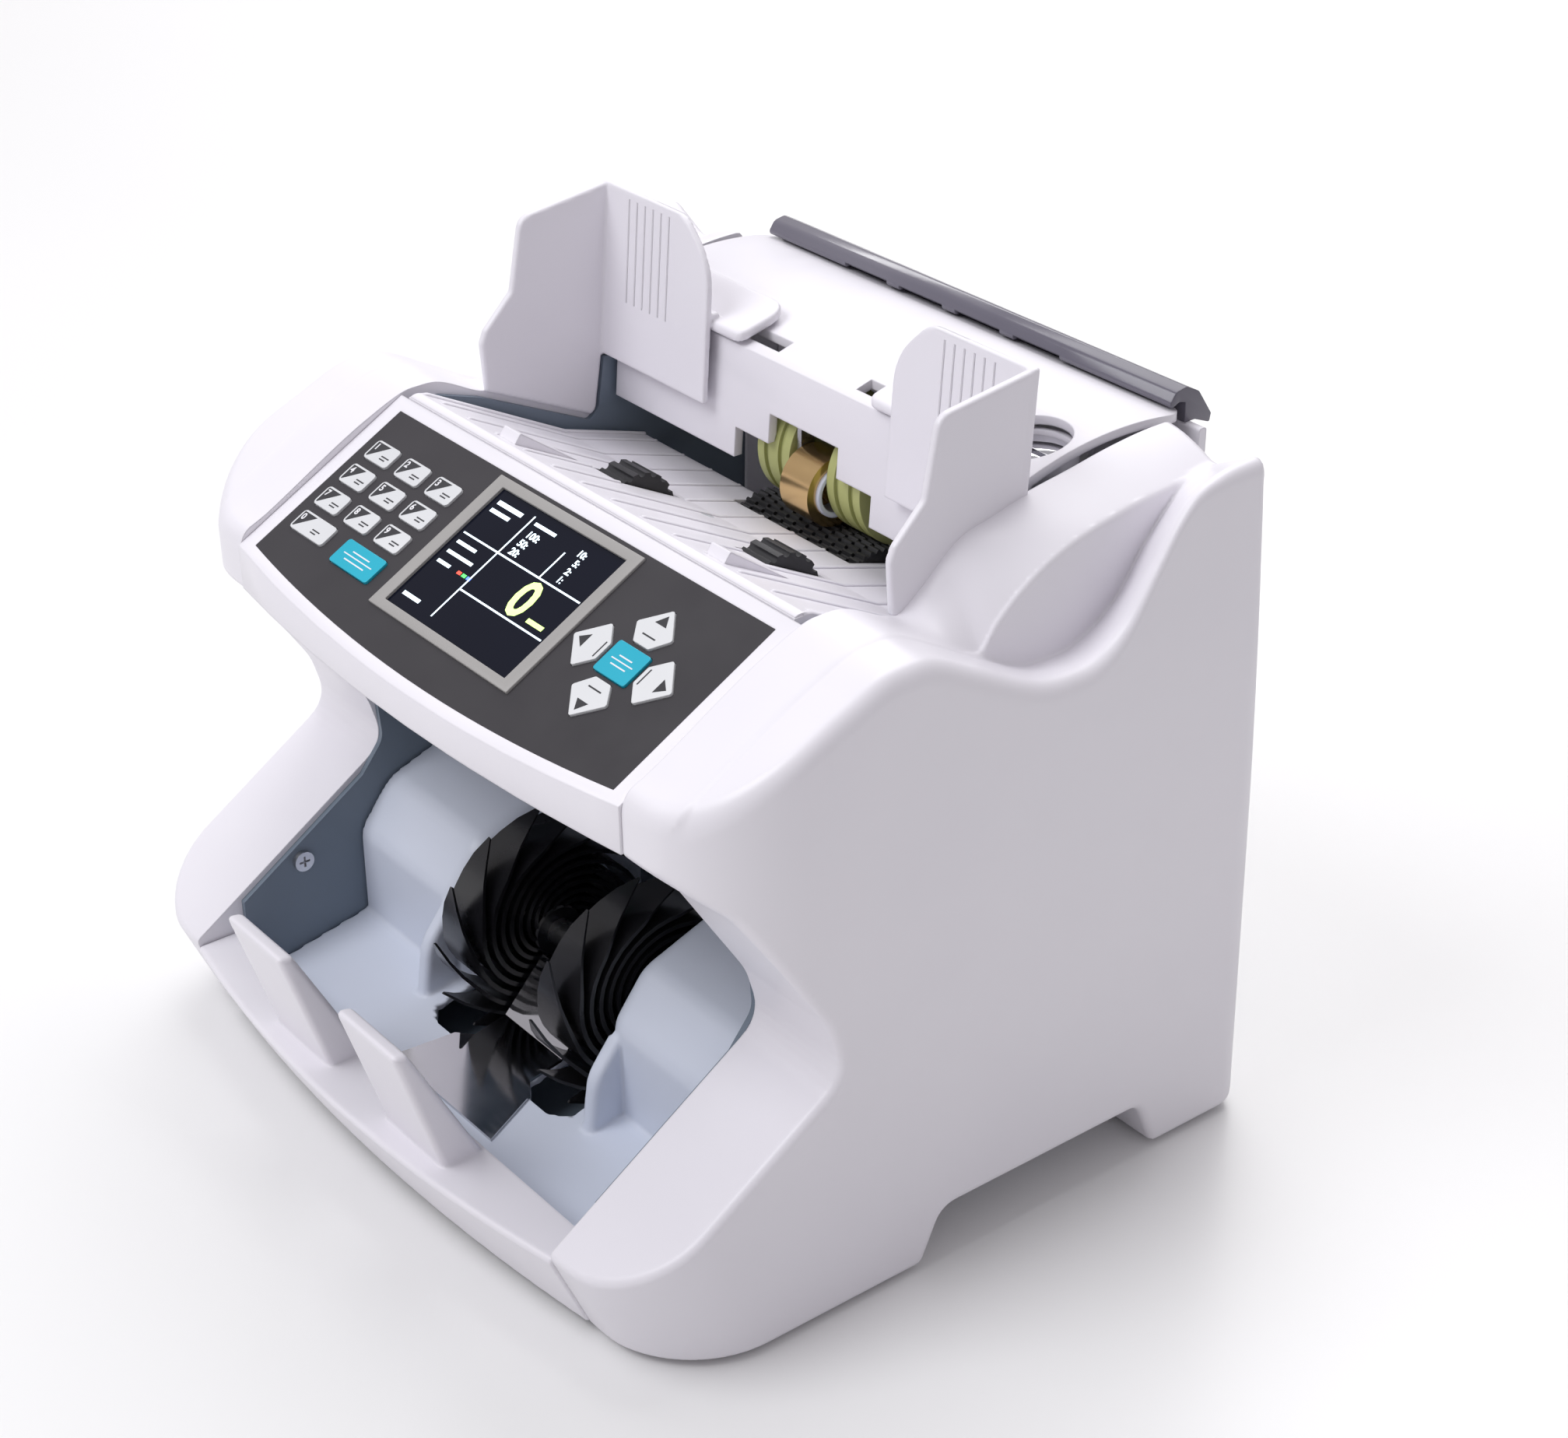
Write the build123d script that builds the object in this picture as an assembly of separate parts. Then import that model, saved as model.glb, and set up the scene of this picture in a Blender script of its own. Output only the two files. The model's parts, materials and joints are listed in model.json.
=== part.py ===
from build123d import *
import os
from math import atan2, cos, degrees, hypot, pi, radians, sin

# Banknote counter: a top hopper, a sloped control panel and an open stacker at the front.
# Millimetres, +X to the operator's right, +Y to the rear, +Z up, floor at z = 0.
# Side outlines are (y, z) or (y, z, corner radius) from the panel datum; save() moves every
# node by CENTRE_SHIFT so that the origin lies under the middle of the whole machine.

# ---------------------------------------------------------------- driving dimensions
CENTRE_SHIFT = 17.48

OUTER_X = 145.0          # outer face of a side cover
SEAM_X = 105.0           # plane where the side covers meet the middle panels
PANEL_X = 104.8          # half width of the middle panels
PLATE_IN_X = 103.0       # inner face of a frame plate; its outer face is on the seam
HOUSING_X = 102.8        # half width of the stacker moulding between the frame plates
WALL = 3.0
THIN = 2.0
COVER_BOTTOM = 1.8
PAN_BOTTOM = 3.0
PAN_TOP = 5.0
FLOOR_RISE = 0.2         # the stacker floor rises this much per mm to the rear

STACKER_AXIS = (-52.0, 47.0)
FEED_AXIS = (43.6, 156.8)
PICKUP_AXIS = (-3.9, 178.9)
RETARD_AXIS = (60.5, 190.0)
SENSING_AXIS = (45.0, 185.2)
MOTOR_AXIS = (62.0, 112.0)

WHEEL_R = 41.0
WHEEL_HUB_R = 9.0
WHEEL_X = 27.6
WHEEL_WIDTH = 20.0
BLADE_COUNT = 13
BLADE_SWEEP = 205.0
BLADE_PHASE = 9.5        # degrees from straight ahead up to the nearest tip
SHAFT_R = 4.0
STACKER_SHAFT_R = 4.5
FEED_R = 16.2
PICKUP_R = 13.0
RETARD_R = 20.8
SENSING_R = 11.9
BEARING_R = 8.0
RUNNING = 0.05           # radial clearance of a running fit
BELT_T = 1.2
BELT_PLANE_X = 108.0     # inner edge of the drive belt

SLOPE_REAR = (-44.4, 205.8)
SLOPE_FRONT = (-107.9, 171.5)
PANEL_LOWER_Z = 156.4
PANEL_BOW = 7.5          # how far the front face stands forward at the middle

KEY_HEIGHT = 2.6
KEY_PROUD = 0.7
KEY_GAP = 0.25
OVERLAY_T = 0.6
SCREEN_W, SCREEN_H = 65.5, 50.0
BEZEL_W, BEZEL_H = 75.8, 57.0
SCREEN_U, SCREEN_V = 1.0, -30.0

TRAY_X = 101.0
TOP_X = 101.0
GUIDE_IN_X = 103.0
GUIDE_T = 3.0
GUIDE_LEAN = 0.09        # rearward lean of the upright hopper plates, mm per mm of height

DOOR_AXIS = (104.6, 50.0)
DOOR_X = 104.3

os.makedirs("parts", exist_ok=True)


# ---------------------------------------------------------------- helpers
def outline(corners):
    """A flat outline; each corner is (a, b) or (a, b, radius)."""
    points = [corner[:2] for corner in corners]
    radii = [corner[2] if len(corner) > 2 else 0 for corner in corners]
    if any(radii):
        return make_face(FilletPolyline(*points, radius=radii, close=True))
    return make_face(Polyline(*points, close=True))


def slab(corners, x0, x1):
    """A side outline in (y, z), extruded from x0 to x1."""
    return Pos(x0, 0, 0) * extrude(Plane.YZ * outline(corners), x1 - x0)


def block(x0, x1, y0, y1, z0, z1):
    return Pos((x0 + x1) / 2, (y0 + y1) / 2, (z0 + z1) / 2) * Box(x1 - x0, y1 - y0, z1 - z0)


def rod(axis, x0, x1, radius):
    """A cylinder along X about (y, z)."""
    turned = Location(((x0 + x1) / 2, axis[0], axis[1]), (0, 90, 0))
    return turned * Cylinder(radius, x1 - x0)


def tube(axis, x0, x1, outer, inner):
    return rod(axis, x0, x1, outer) - rod(axis, x0 - 1, x1 + 1, inner)


def post(x, y, z0, z1, radius):
    """An upright cylinder."""
    return Pos(x, y, (z0 + z1) / 2) * Cylinder(radius, z1 - z0)


def column(corners, z0, z1):
    """A plan outline in (x, y), extruded upwards."""
    return Pos(0, 0, z0) * extrude(outline(corners), z1 - z0)


def mirrored(shape):
    return mirror(shape, about=Plane.YZ)


def both(shape):
    return shape + mirrored(shape)


def save(name, *solids):
    """Write one node; several solids are kept apart inside it."""
    placed = [Pos(0, CENTRE_SHIFT, 0) * solid for solid in solids]
    export_step(placed[0] if len(placed) == 1 else Compound(placed), f"parts/{name}.step")


def floor_z(y):
    """Height of the stacker floor."""
    return 16.5 + (y + 112.0) * FLOOR_RISE


# ---------------------------------------------------------------- side covers and frame
COVER_SIDE = [
    (-126.8, COVER_BOTTOM, 2), (-140, 34, 2.5), (-62, 84, 17), (-67, 102, 26), (-94, 145, 12),
    (-108, PANEL_LOWER_Z, 1.5), (-108, 173, 7), (-97, 181, 8), (-57, 202, 24), (-33, 207, 9),
    (3, 187.5, 30), (30, 184.5, 16), (42, 192, 20), (62, 226, 14), (69, 232, 6), (88, 232.5, 5),
    (94.5, 225, 4), (102.5, 96, 60), (101.5, COVER_BOTTOM, 6), (62, COVER_BOTTOM, 3), (55, 19, 6),
    (-25, 19, 8), (-33, COVER_BOTTOM, 4),
]
SHOULDER_SIDE = [
    (-10, 176), (-10, 195, 8), (6, 214, 14), (22, 219, 30), (72, 227.5, 60), (92, 228, 6), (92, 176),
]
SHOULDER_X0, SHOULDER_X1 = 106.6, 124.0
CORNER_R = 36.0
REAR_R = 14.0
SPLIT_Z = 95.0
ARM_LEAN = 0.425         # forward lean of the arm front per mm of height


def inset_outline(corners, inset):
    face = outline(corners)
    return offset(face, amount=-inset, kind=Kind.INTERSECTION) if inset else face


def cover_form(inset):
    """Right cover as a solid form; inset shrinks it to make the hollow."""
    side = x_extrusion(inset_outline(COVER_SIDE, inset), SEAM_X, OUTER_X - inset)
    out = OUTER_X - inset
    rear = column([(90, -180), (out, -180), (out, 104 - inset, REAR_R), (90, 104 - inset)], -5, 240)
    nose = column([(90, -108 + inset), (out, -108 + inset, CORNER_R - inset), (out, 120), (90, 120)],
                  SPLIT_Z, 240)
    arm_plan = outline([(90, -126 + inset), (out, -126 + inset, CORNER_R - inset), (out, 180), (90, 180)])
    arm = extrude(arm_plan, amount=SPLIT_Z * hypot(1, ARM_LEAN), dir=(0, -ARM_LEAN, 1))
    return side & rear & (nose + arm)


def x_extrusion(face, x0, x1):
    return Pos(x0, 0, 0) * extrude(Plane.YZ * face, x1 - x0)


def side_cover():
    shoulder = slab(SHOULDER_SIDE, SHOULDER_X0, SHOULDER_X1)
    inside = inset_outline(SHOULDER_SIDE, WALL)
    shoulder_hollow = x_extrusion(inside, SHOULDER_X0 + THIN, SHOULDER_X1 - WALL)
    groove = block(SEAM_X - 1, SHOULDER_X0, -19, 60, 172, 262)
    shell = cover_form(0) + shoulder
    return shell - cover_form(WALL) - shoulder_hollow - groove


SHAFTS = [          # axis, shaft radius, bearing radius
    (STACKER_AXIS, STACKER_SHAFT_R, BEARING_R), (FEED_AXIS, SHAFT_R, BEARING_R),
    (PICKUP_AXIS, SHAFT_R, 6.4), (RETARD_AXIS, SHAFT_R, BEARING_R),
]
FRAME_SIDE = [
    (-121.5, PAN_TOP), (-121.5, 43.5), (-72.5, 75), (-63.5, 86, 8), (-64.5, 100, 8), (-88, 139, 6),
    (-88, 150, 4), (-43.6, 170, 4), (-43.6, 202.5, 2), (-31, 202.5, 4), (-16, 197.6, 1), (26.7, 177.6, 2),
    (30.6, 181.6, 3), (33.6, 199), (36.2, 199), (38.3, 221, 3), (93.5, 221, 4), (93.5, PAN_TOP),
]


def frame_plate():
    plate = slab(FRAME_SIDE, PLATE_IN_X, SEAM_X)
    for axis, _, ring in SHAFTS:
        plate -= rod(axis, PLATE_IN_X - 1, SEAM_X + 1, ring)
    return plate


def base_pan():
    pan = block(-104.9, 104.9, -121, 98, PAN_BOTTOM, PAN_TOP)
    rear_wall = block(-102.8, 102.8, 96.2, 98, PAN_TOP, 43)
    ear_side = [(96.5, 30), (105, 42), (108.6, 48, 3), (108.6, 54.5, 3), (100.6, 54.5, 3), (96.5, 43)]
    ears = slab(ear_side, 99, 101) - rod(DOOR_AXIS, 98, 102, 2.4 + RUNNING)
    inlet_hole = block(-84, -56, 90, 104, 12, 33)
    switch_hole = block(-50, -36.8, 90, 104, 13, 32.2)
    return pan + rear_wall + both(ears) - inlet_hole - switch_hole


def rubber_feet():
    spots = [(x, y) for x in (-86, 86) for y in (-106, 82)]
    return [post(x, y, 0, PAN_BOTTOM, 9) for x, y in spots]


SCREW_SPOTS = [(-98.5, 51.5), (70, 60)]


def pan_head_screw(x_face, y, z, direction):
    """A cross-recess screw with its head against x_face, its shank running away from direction."""
    head = rod((y, z), *sorted((x_face, x_face + 1.9 * direction)), 3.6)
    top = x_face + 1.9 * direction
    deep = top - 1.1 * direction
    cross = block(*sorted((top, deep)), y - 2, y + 2, z - 0.4, z + 0.4)
    cross += block(*sorted((top, deep)), y - 0.4, y + 0.4, z - 2, z + 2)
    return head - cross


def plate_screws():
    return [pan_head_screw(side * PLATE_IN_X, y, z, -side) for side in (1, -1) for y, z in SCREW_SPOTS]


# ---------------------------------------------------------------- front lip and its note stops
LIP_TOP_BOW, LIP_LOW_BOW = 10.0, 7.0
LIP_TOP_Y, LIP_LOW_Y = -139.8, -127.5
LIP_LOW_Z = 3.5
LEDGE_Z = 32.5
LEDGE_INNER_Y = -124.5
STOP_SIDE = [(-139.5, 31), (-125.2, 31), (-148.6, 77.5, 2), (-154, 78.5, 2)]


def lip_plan(front_y, bow, rear_y, half):
    front = ThreePointArc((-half, front_y), (0, front_y - bow), (half, front_y))
    back = Polyline((half, front_y), (half, rear_y), (-half, rear_y), (-half, front_y))
    return make_face(front + back)


def lip_form(inset):
    low = Pos(0, 0, LIP_LOW_Z - inset) * lip_plan(LIP_LOW_Y + inset, LIP_LOW_BOW, LEDGE_INNER_Y + 2, PANEL_X)
    high = Pos(0, 0, LEDGE_Z - inset) * lip_plan(LIP_TOP_Y + inset, LIP_TOP_BOW, LEDGE_INNER_Y + 2, PANEL_X)
    return loft([low, high])


def front_lip():
    behind = block(-110, 110, LEDGE_INNER_Y, -110, 0, 40)
    shell = lip_form(0) - (lip_form(2.4) & block(-PANEL_X + 2, PANEL_X - 2, -170, LEDGE_INNER_Y - 2, 0, 40))
    shell -= behind
    for x0, x1 in ((16.5, 50.0), (-50.0, -16.5)):
        shell += slab(STOP_SIDE, x0, x1)
    return shell


# ---------------------------------------------------------------- stacker
HUMP_X = 42.0
HUMP_SIDE = [
    (-76, 20), (-75.5, 55, 10), (-63, 71, 14), (-36, 80.5), (2, 92), (2, 20),
]
HUMP_HOLLOW = [
    (-73.4, 10), (-73, 54.4, 8), (-61.8, 68.6, 11), (-35, 77.8), (8, 90.6), (8, 10),
]
SLOT_PLAN = [(22.3, -91.4), (32.9, -91.4), (38.8, -87.4), (38.8, 10), (16.4, 10), (16.4, -87.4)]
DEFLECTOR_SIDE = [(-88.7, 19), (-85, 38, 14), (-75.6, 52), (-74, 52), (-74, 19)]
BEND = (-75.4, 25.3)
PLATE_TOP = (-59.0, 41.0)
HOOD_SIDE = [(-98, 152), (-92, 142), (-50, 128), (-8, 108), (-4, 89)]


def stacker_housing():
    floor_strip = [
        (-122.3, floor_z(-122.3)), (-76, floor_z(-76)), (2, floor_z(-76) + 2), (2, floor_z(-76) - 0.5),
        (-76, floor_z(-76) - 2.5), (-122.3, floor_z(-122.3) - 2.5),
    ]
    body = slab(floor_strip, -HOUSING_X, HOUSING_X)
    hump = slab(HUMP_SIDE, HUMP_X, HOUSING_X)
    hollow = slab(HUMP_HOLLOW, HUMP_X + 2.5, HOUSING_X + 1)
    fin = slab(DEFLECTOR_SIDE, 45, 51)
    slot = column(SLOT_PLAN, 5, 60)
    shaft_hole = rod(STACKER_AXIS, HUMP_X - 1, HOUSING_X + 1, 7)
    body -= both(hollow)
    body += both(hump - hollow + fin)
    body -= both(slot + shaft_hole)
    return body - block(-39, 39, BEND[0] + 4, 3, 5, 60)


def stacker_hood():
    """Curved roof that closes the stacker behind and above the wheels."""
    strip = trace(FilletPolyline(*HOOD_SIDE, radius=10), 2.0)
    return Pos(-HOUSING_X, 0, 0) * extrude(Plane.YZ * strip, 2 * HOUSING_X)


def sheet_between(y0, y1, half_widths, thickness):
    """A flat steel strip lying on the stacker floor."""
    w0, w1 = half_widths
    plan = column([(-w0, y0), (w0, y0), (w1, y1), (-w1, y1)], 0, 60)
    side = [(y0, floor_z(y0)), (y1, floor_z(y1)), (y1, floor_z(y1) + thickness), (y0, floor_z(y0) + thickness)]
    return slab(side, -40, 40) & plan


DIMPLE_CENTRE = (-68.0, 32.7)


def stacker_plate():
    t = 1.0
    front = sheet_between(-111, -91.5, (29, 22.1), t) + sheet_between(-91.5, -87.5, (22.1, 16.2), t)
    front += sheet_between(-87.5, BEND[0], (16.2, 16.2), t)
    by, bz = BEND[0], floor_z(BEND[0])
    ramp = [(by, bz), (PLATE_TOP[0], PLATE_TOP[1]), (PLATE_TOP[0] - 0.7, PLATE_TOP[1] + 0.7), (by, bz + t)]
    plate = front + slab(ramp, -16.2, 16.2)
    return plate - Location((0, *DIMPLE_CENTRE), (45, 0, 0)) * Cylinder(4, 12)


def sensor_lenses():
    stacker_lens = Location((0, *DIMPLE_CENTRE), (45, 0, 0)) * (Cylinder(3.9, 2.0) + Pos(0, 0, 0.6) * Sphere(3.0))
    hopper_lens = on_tray(*TRAY_LENS) * (Pos(0, 0, -1.5) * Cylinder(2.4, 3.0))
    return [stacker_lens, hopper_lens]


def blade():
    """One spiral stacking blade of the wheel, its tip at the wheel's front."""
    points = []
    for step in range(6):
        share = step / 5
        turn = radians(BLADE_SWEEP * share)
        reach = WHEEL_R - 0.8 - (WHEEL_R - WHEEL_HUB_R) * share ** 0.9
        points.append((-reach * cos(turn), -reach * sin(turn)))
    return trace(Spline(*points), 1.3)


def stacker_wheels():
    rim = Circle(WHEEL_HUB_R)
    for index in range(BLADE_COUNT):
        rim += Rot(0, 0, 360 / BLADE_COUNT * index - BLADE_PHASE) * blade()
    rim = rim & Circle(WHEEL_R)
    rim -= Circle(STACKER_SHAFT_R)
    wheel = extrude(Plane.YZ * rim, WHEEL_WIDTH)
    spots = (WHEEL_X - WHEEL_WIDTH / 2, -WHEEL_X - WHEEL_WIDTH / 2)
    return [Pos(x, *STACKER_AXIS) * wheel for x in spots]


# ---------------------------------------------------------------- control panel
SLOPE = Plane(origin=(0, -48.8, 203.42), x_dir=(1, 0, 0), z_dir=(0, -0.475, 0.88))
NUMBER_KEY = (13.3, 7.8)
COLUMNS = (-87.1, -69.1, -51.1)
ROWS = (-16.1, -27.1, -38.0)
CLUSTER = (64.5, -32.3)
ARROW_KEY = [(0, 21.5, 0.9), (8.5, 13.2, 0.9), (3.6, 7.4, 0.9), (-3.6, 7.4, 0.9), (-8.5, 13.2, 0.9)]
SIDE_KEY = [(0, 23.8, 0.9), (8.7, 14.9, 0.9), (3.1, 9.2, 0.9), (-3.1, 9.2, 0.9), (-8.7, 14.9, 0.9)]


def key_outlines():
    """Each key's outline on the panel slope, at its own place."""
    keys = {}
    for index in range(9):
        place = Pos(COLUMNS[index % 3], ROWS[index // 3])
        keys[f"key_{index + 1}"] = place * RectangleRounded(*NUMBER_KEY, 1.5)
    keys["key_0"] = Pos(-83.5, -48.8) * RectangleRounded(19.4, 7.8, 1.5)
    keys["key_set"] = Pos(-55.0, -49.9) * RectangleRounded(22.0, 9.6, 1.2)
    keys["key_start"] = Pos(*CLUSTER) * RectangleRounded(15.2, 11.7, 1.0)
    keys["key_mode"] = Pos(*CLUSTER) * outline(ARROW_KEY)
    keys["key_batch"] = Pos(*CLUSTER) * Rot(0, 0, 180) * outline(ARROW_KEY)
    keys["key_currency"] = Pos(*CLUSTER) * Rot(0, 0, 90) * outline(SIDE_KEY)
    keys["key_print"] = Pos(*CLUSTER) * Rot(0, 0, -90) * outline(SIDE_KEY)
    return keys


def prism_on_slope(face, w0, w1):
    """Extrudes a flat outline on the panel slope from depth w0 to w1 along its outward normal."""
    return SLOPE.location * (Pos(0, 0, w0) * extrude(face, w1 - w0))


def widened(face, by):
    return offset(face, amount=by)


def overlay_face():
    lower = ThreePointArc((-98.5, -64), (0, -71.6), (98.5, -64))
    rest = Polyline((98.5, -64), (98.5, 0), (-98.5, 0), (-98.5, -64))
    return make_face(lower + rest)


def screen_place(width, height):
    return Pos(SCREEN_U, SCREEN_V) * Rectangle(width, height)


def bowed_column(inset, rear_y):
    front = ThreePointArc((-PANEL_X, -107.9 + inset), (0, -107.9 - PANEL_BOW + inset), (PANEL_X, -107.9 + inset))
    rest = Polyline((PANEL_X, -107.9 + inset), (PANEL_X, rear_y), (-PANEL_X, rear_y), (-PANEL_X, -107.9 + inset))
    return Pos(0, 0, 140) * extrude(make_face(front + rest), 80)


def front_panel():
    lean = (SLOPE_REAR[1] - SLOPE_FRONT[1]) / (SLOPE_REAR[0] - SLOPE_FRONT[0])
    tip_y = -118.0
    tip_z = SLOPE_FRONT[1] + (tip_y - SLOPE_FRONT[0]) * lean
    solid = slab([SLOPE_REAR, (tip_y, tip_z), (tip_y, PANEL_LOWER_Z), (SLOPE_REAR[0], PANEL_LOWER_Z)],
                 -PANEL_X, PANEL_X) & bowed_column(0, -40)
    drop = WALL / 0.88
    hollow = slab([(-30, SLOPE_REAR[1] + 14.4 * lean - drop), (tip_y, tip_z - drop), (tip_y, 140), (-30, 140)],
                  -PANEL_X - 1, PANEL_X + 1) & bowed_column(WALL, -20)
    panel = solid - hollow
    panel -= prism_on_slope(overlay_face(), -OVERLAY_T, 5)
    panel -= prism_on_slope(screen_place(SCREEN_W + 4, SCREEN_H + 3), -8, 5)
    for face in key_outlines().values():
        panel -= prism_on_slope(widened(face, KEY_GAP), -8, 5)
    return panel


def keypad_overlay():
    sheet = prism_on_slope(overlay_face(), -OVERLAY_T, 0.0)
    sheet -= prism_on_slope(screen_place(BEZEL_W, BEZEL_H), -2, 2)
    for face in key_outlines().values():
        sheet -= prism_on_slope(widened(face, KEY_GAP), -2, 2)
    return sheet


def display_bezel():
    ring = screen_place(BEZEL_W - 0.1, BEZEL_H - 0.1) - screen_place(SCREEN_W + 0.1, SCREEN_H + 0.1)
    return prism_on_slope(ring, -OVERLAY_T, 0.9)


def display_screen():
    glass = prism_on_slope(screen_place(SCREEN_W, SCREEN_H), -2.0, -0.2)
    module = prism_on_slope(screen_place(SCREEN_W + 3, SCREEN_H + 2), -7.0, -2.0)
    return glass + module


def keypad_board():
    u0, u1, v0, v1 = -97, 97, -58, -6
    board = Pos((u0 + u1) / 2, (v0 + v1) / 2) * Rectangle(u1 - u0, v1 - v0)
    hole = screen_place(SCREEN_W + 6, SCREEN_H + 5)
    return prism_on_slope(board - hole, -6.4, -4.8)


def save_keys():
    for name, face in key_outlines().items():
        save(name, prism_on_slope(face, KEY_PROUD - KEY_HEIGHT - 1.4, KEY_PROUD))


# ---------------------------------------------------------------- hopper
TRAY_TOP = (-39.0, 206.0)
TRAY_LOW = (14.0, 178.0)
TRAY_END = (47.0, 167.8)
FEED_CUT = (30.3, 32.2)      # half width and front edge of the cut round the feed roller
TRAY_LENS = (-12.0, 54.0)
TRAY_ANGLE = degrees(atan2(TRAY_LOW[1] - TRAY_TOP[1], TRAY_LOW[0] - TRAY_TOP[0]))


def on_tray(x, distance):
    """Place on the tray's upper surface, a distance down the slope from its top edge."""
    y = TRAY_TOP[0] + distance * cos(radians(TRAY_ANGLE))
    z = TRAY_TOP[1] + distance * sin(radians(TRAY_ANGLE))
    return Location((x, y, z), (TRAY_ANGLE, 0, 0))


def hopper_tray():
    skin = [(-44, 206), TRAY_TOP, TRAY_LOW, TRAY_END, (46.3, 165.3), (13.4, 175.4), (-39.6, 203.4), (-44, 203.4)]
    tray = slab(skin, -TRAY_X, TRAY_X)
    skirt = slab([(-39, 204), (13.6, 176.4), (13.6, 173.4), (-39, 198)], TRAY_X - 2, TRAY_X)
    bump = slab([(-37, 204.6), (-34.5, 207.9, 0.5), (-12, 191.4)], 50, 59)
    tray += both(skirt + bump)
    tray -= rod(PICKUP_AXIS, -102, 102, SHAFT_R + 0.6)
    slot = on_tray(37.2, 43.8) * Box(15.2, 25.4, 14)
    tray -= both(slot) + block(-FEED_CUT[0], FEED_CUT[0], FEED_CUT[1], 50, 155, 180)
    return tray - on_tray(*TRAY_LENS) * Cylinder(2.45, 12)


TOP_ARCH = ThreePointArc((40.0, 222.8), (74.0, 229.0), (105.5, 226.0))
TOP_ARCH_UNDER = ThreePointArc((43.0, 220.4), (74.0, 226.2), (105.5, 223.2))
KNOB_XY = (85.4, 57.0)
FACE_FOOT = (36.4, 185.0)


def top_cover():
    path = TOP_ARCH + Polyline((105.5, 226.0), (105.5, 223.2)) + TOP_ARCH_UNDER + Polyline(
        (43.0, 220.4), (39.6, 185.0), FACE_FOOT, (40.0, 222.8))
    cover = Pos(-TOP_X, 0, 0) * extrude(Plane.YZ * make_face(path), 2 * TOP_X)
    cover &= column([(-TOP_X, 30), (TOP_X, 30), (TOP_X, 106, 9), (-TOP_X, 106, 9)], 170, 240)
    notch = block(-34.5, 34.5, 30, 45, 180, 195.2) + block(-17.3, 17.3, 30, 45, 180, 205.2)
    guide_slot = block(19.5, 50, 44, 50, 205, 240)
    cover -= notch + both(rod(RETARD_AXIS, 8.8, 26.8, RETARD_R + 0.4))
    cover -= both(guide_slot)
    knob_x, knob_y = KNOB_XY
    cover += post(knob_x, knob_y, 215, 224, 14) & block(60, TOP_X, 30, 80, 210, 224)
    cover -= post(knob_x, knob_y, 217, 240, 12.2)
    return cover - post(knob_x, knob_y, 205, 240, 4.1)


def gap_knob():
    x, y = KNOB_XY
    disc = post(x, y, 217.2, 222.6, 11.6)
    groove = block(x - 12, x + 12, y - 1.1, y + 1.1, 220.4, 224)
    return disc + post(x, y, 203, 217.2, 4.0) - groove


def note_guide():
    """Right guide: side plate, leaning back plate, tab over the cover and leg into its slot."""
    side = [
        (-13, 198.5, 1), (-14, 215.5, 3), (-12.2, 219.8, 2), (-1.2, 230.6, 3), (3.8, 254.8, 6), (41, 259.6),
        (35.4, 199.8), (32.9, 199.8), (29.6, 181, 2), (27.6, 179.2, 1.5),
    ]
    plate = slab(side, GUIDE_IN_X, GUIDE_IN_X + GUIDE_T)
    lean_foot = 35.3 - 2.6
    back_side = [
        (lean_foot, 200.4), (lean_foot + 2.4, 200.2), (lean_foot + 2.4 + GUIDE_LEAN * 59.6, 259.8),
        (lean_foot + GUIDE_LEAN * 59.6, 259.8),
    ]
    back = slab(back_side, 46, GUIDE_IN_X + GUIDE_T)
    keep = Pos(0, 60, 0) * extrude(Plane.XZ * outline(
        [(46, 190), (120, 190), (120, 262), (60.5, 261.5, 12), (46.2, 246, 22)]), 60)
    tab_side = [(38.6, 224.2), (58.5, 229.0), (58.0, 232.2), (37.8, 227.6)]
    tab = slab(tab_side, 32, 76) & column([(32, 30), (76, 30), (76, 59, 5), (32, 59, 9)], 215, 240)
    link = block(46.4, 76, 36.4, 41, 226.0, 230.0)
    leg = block(40, 46, 44.6, 49.4, 213, 227.6)
    return plate + (back & keep) + tab + link + leg


# ---------------------------------------------------------------- rollers, shafts and drive
DRIVE_PULLEYS = [(MOTOR_AXIS, 9.0), (FEED_AXIS, 14.0), (STACKER_AXIS, 20.0)]
PICKUP_PULLEY_R = 8.0


def toothed_roller(axis, x0, x1, radius, teeth, depth):
    roller = rod(axis, x0, x1, radius)
    for index in range(teeth):
        angle = 2 * pi * index / teeth
        centre = (axis[0] + radius * cos(angle), axis[1] + radius * sin(angle))
        roller -= rod(centre, x0 - 1, x1 + 1, depth)
    return roller


def pickup_rollers():
    rollers = []
    for x in (-37.2, 37.2):
        roller = toothed_roller(PICKUP_AXIS, x - 6.8, x + 6.8, PICKUP_R, 17, 1.3)
        rollers.append(roller - rod(PICKUP_AXIS, x - 9, x + 9, SHAFT_R))
    return rollers


def feed_roller():
    roller = rod(FEED_AXIS, -29.8, 29.8, FEED_R)
    for x in (-18, 0, 18):
        roller -= tube(FEED_AXIS, x - 0.8, x + 0.8, FEED_R + 1, FEED_R - 1.2)
    return roller - rod(FEED_AXIS, -31, 31, SHAFT_R)


def retard_rollers():
    rollers = []
    for side in (-1, 1):
        x0, x1 = sorted((side * 9.6, side * 26))
        roller = tube(RETARD_AXIS, x0, x1, RETARD_R, SHAFT_R)
        for x in (13.2, 20.4):
            cut = sorted((side * x, side * (x + 2.2)))
            roller -= tube(RETARD_AXIS, *cut, RETARD_R + 1, RETARD_R - 1.2)
        rollers.append(roller)
    return rollers


def sensing_roller():
    roller = tube(SENSING_AXIS, -6, 8, SENSING_R, 2.55)
    return roller - tube(SENSING_AXIS, 2, 9, 8.6, 4.2)


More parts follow.
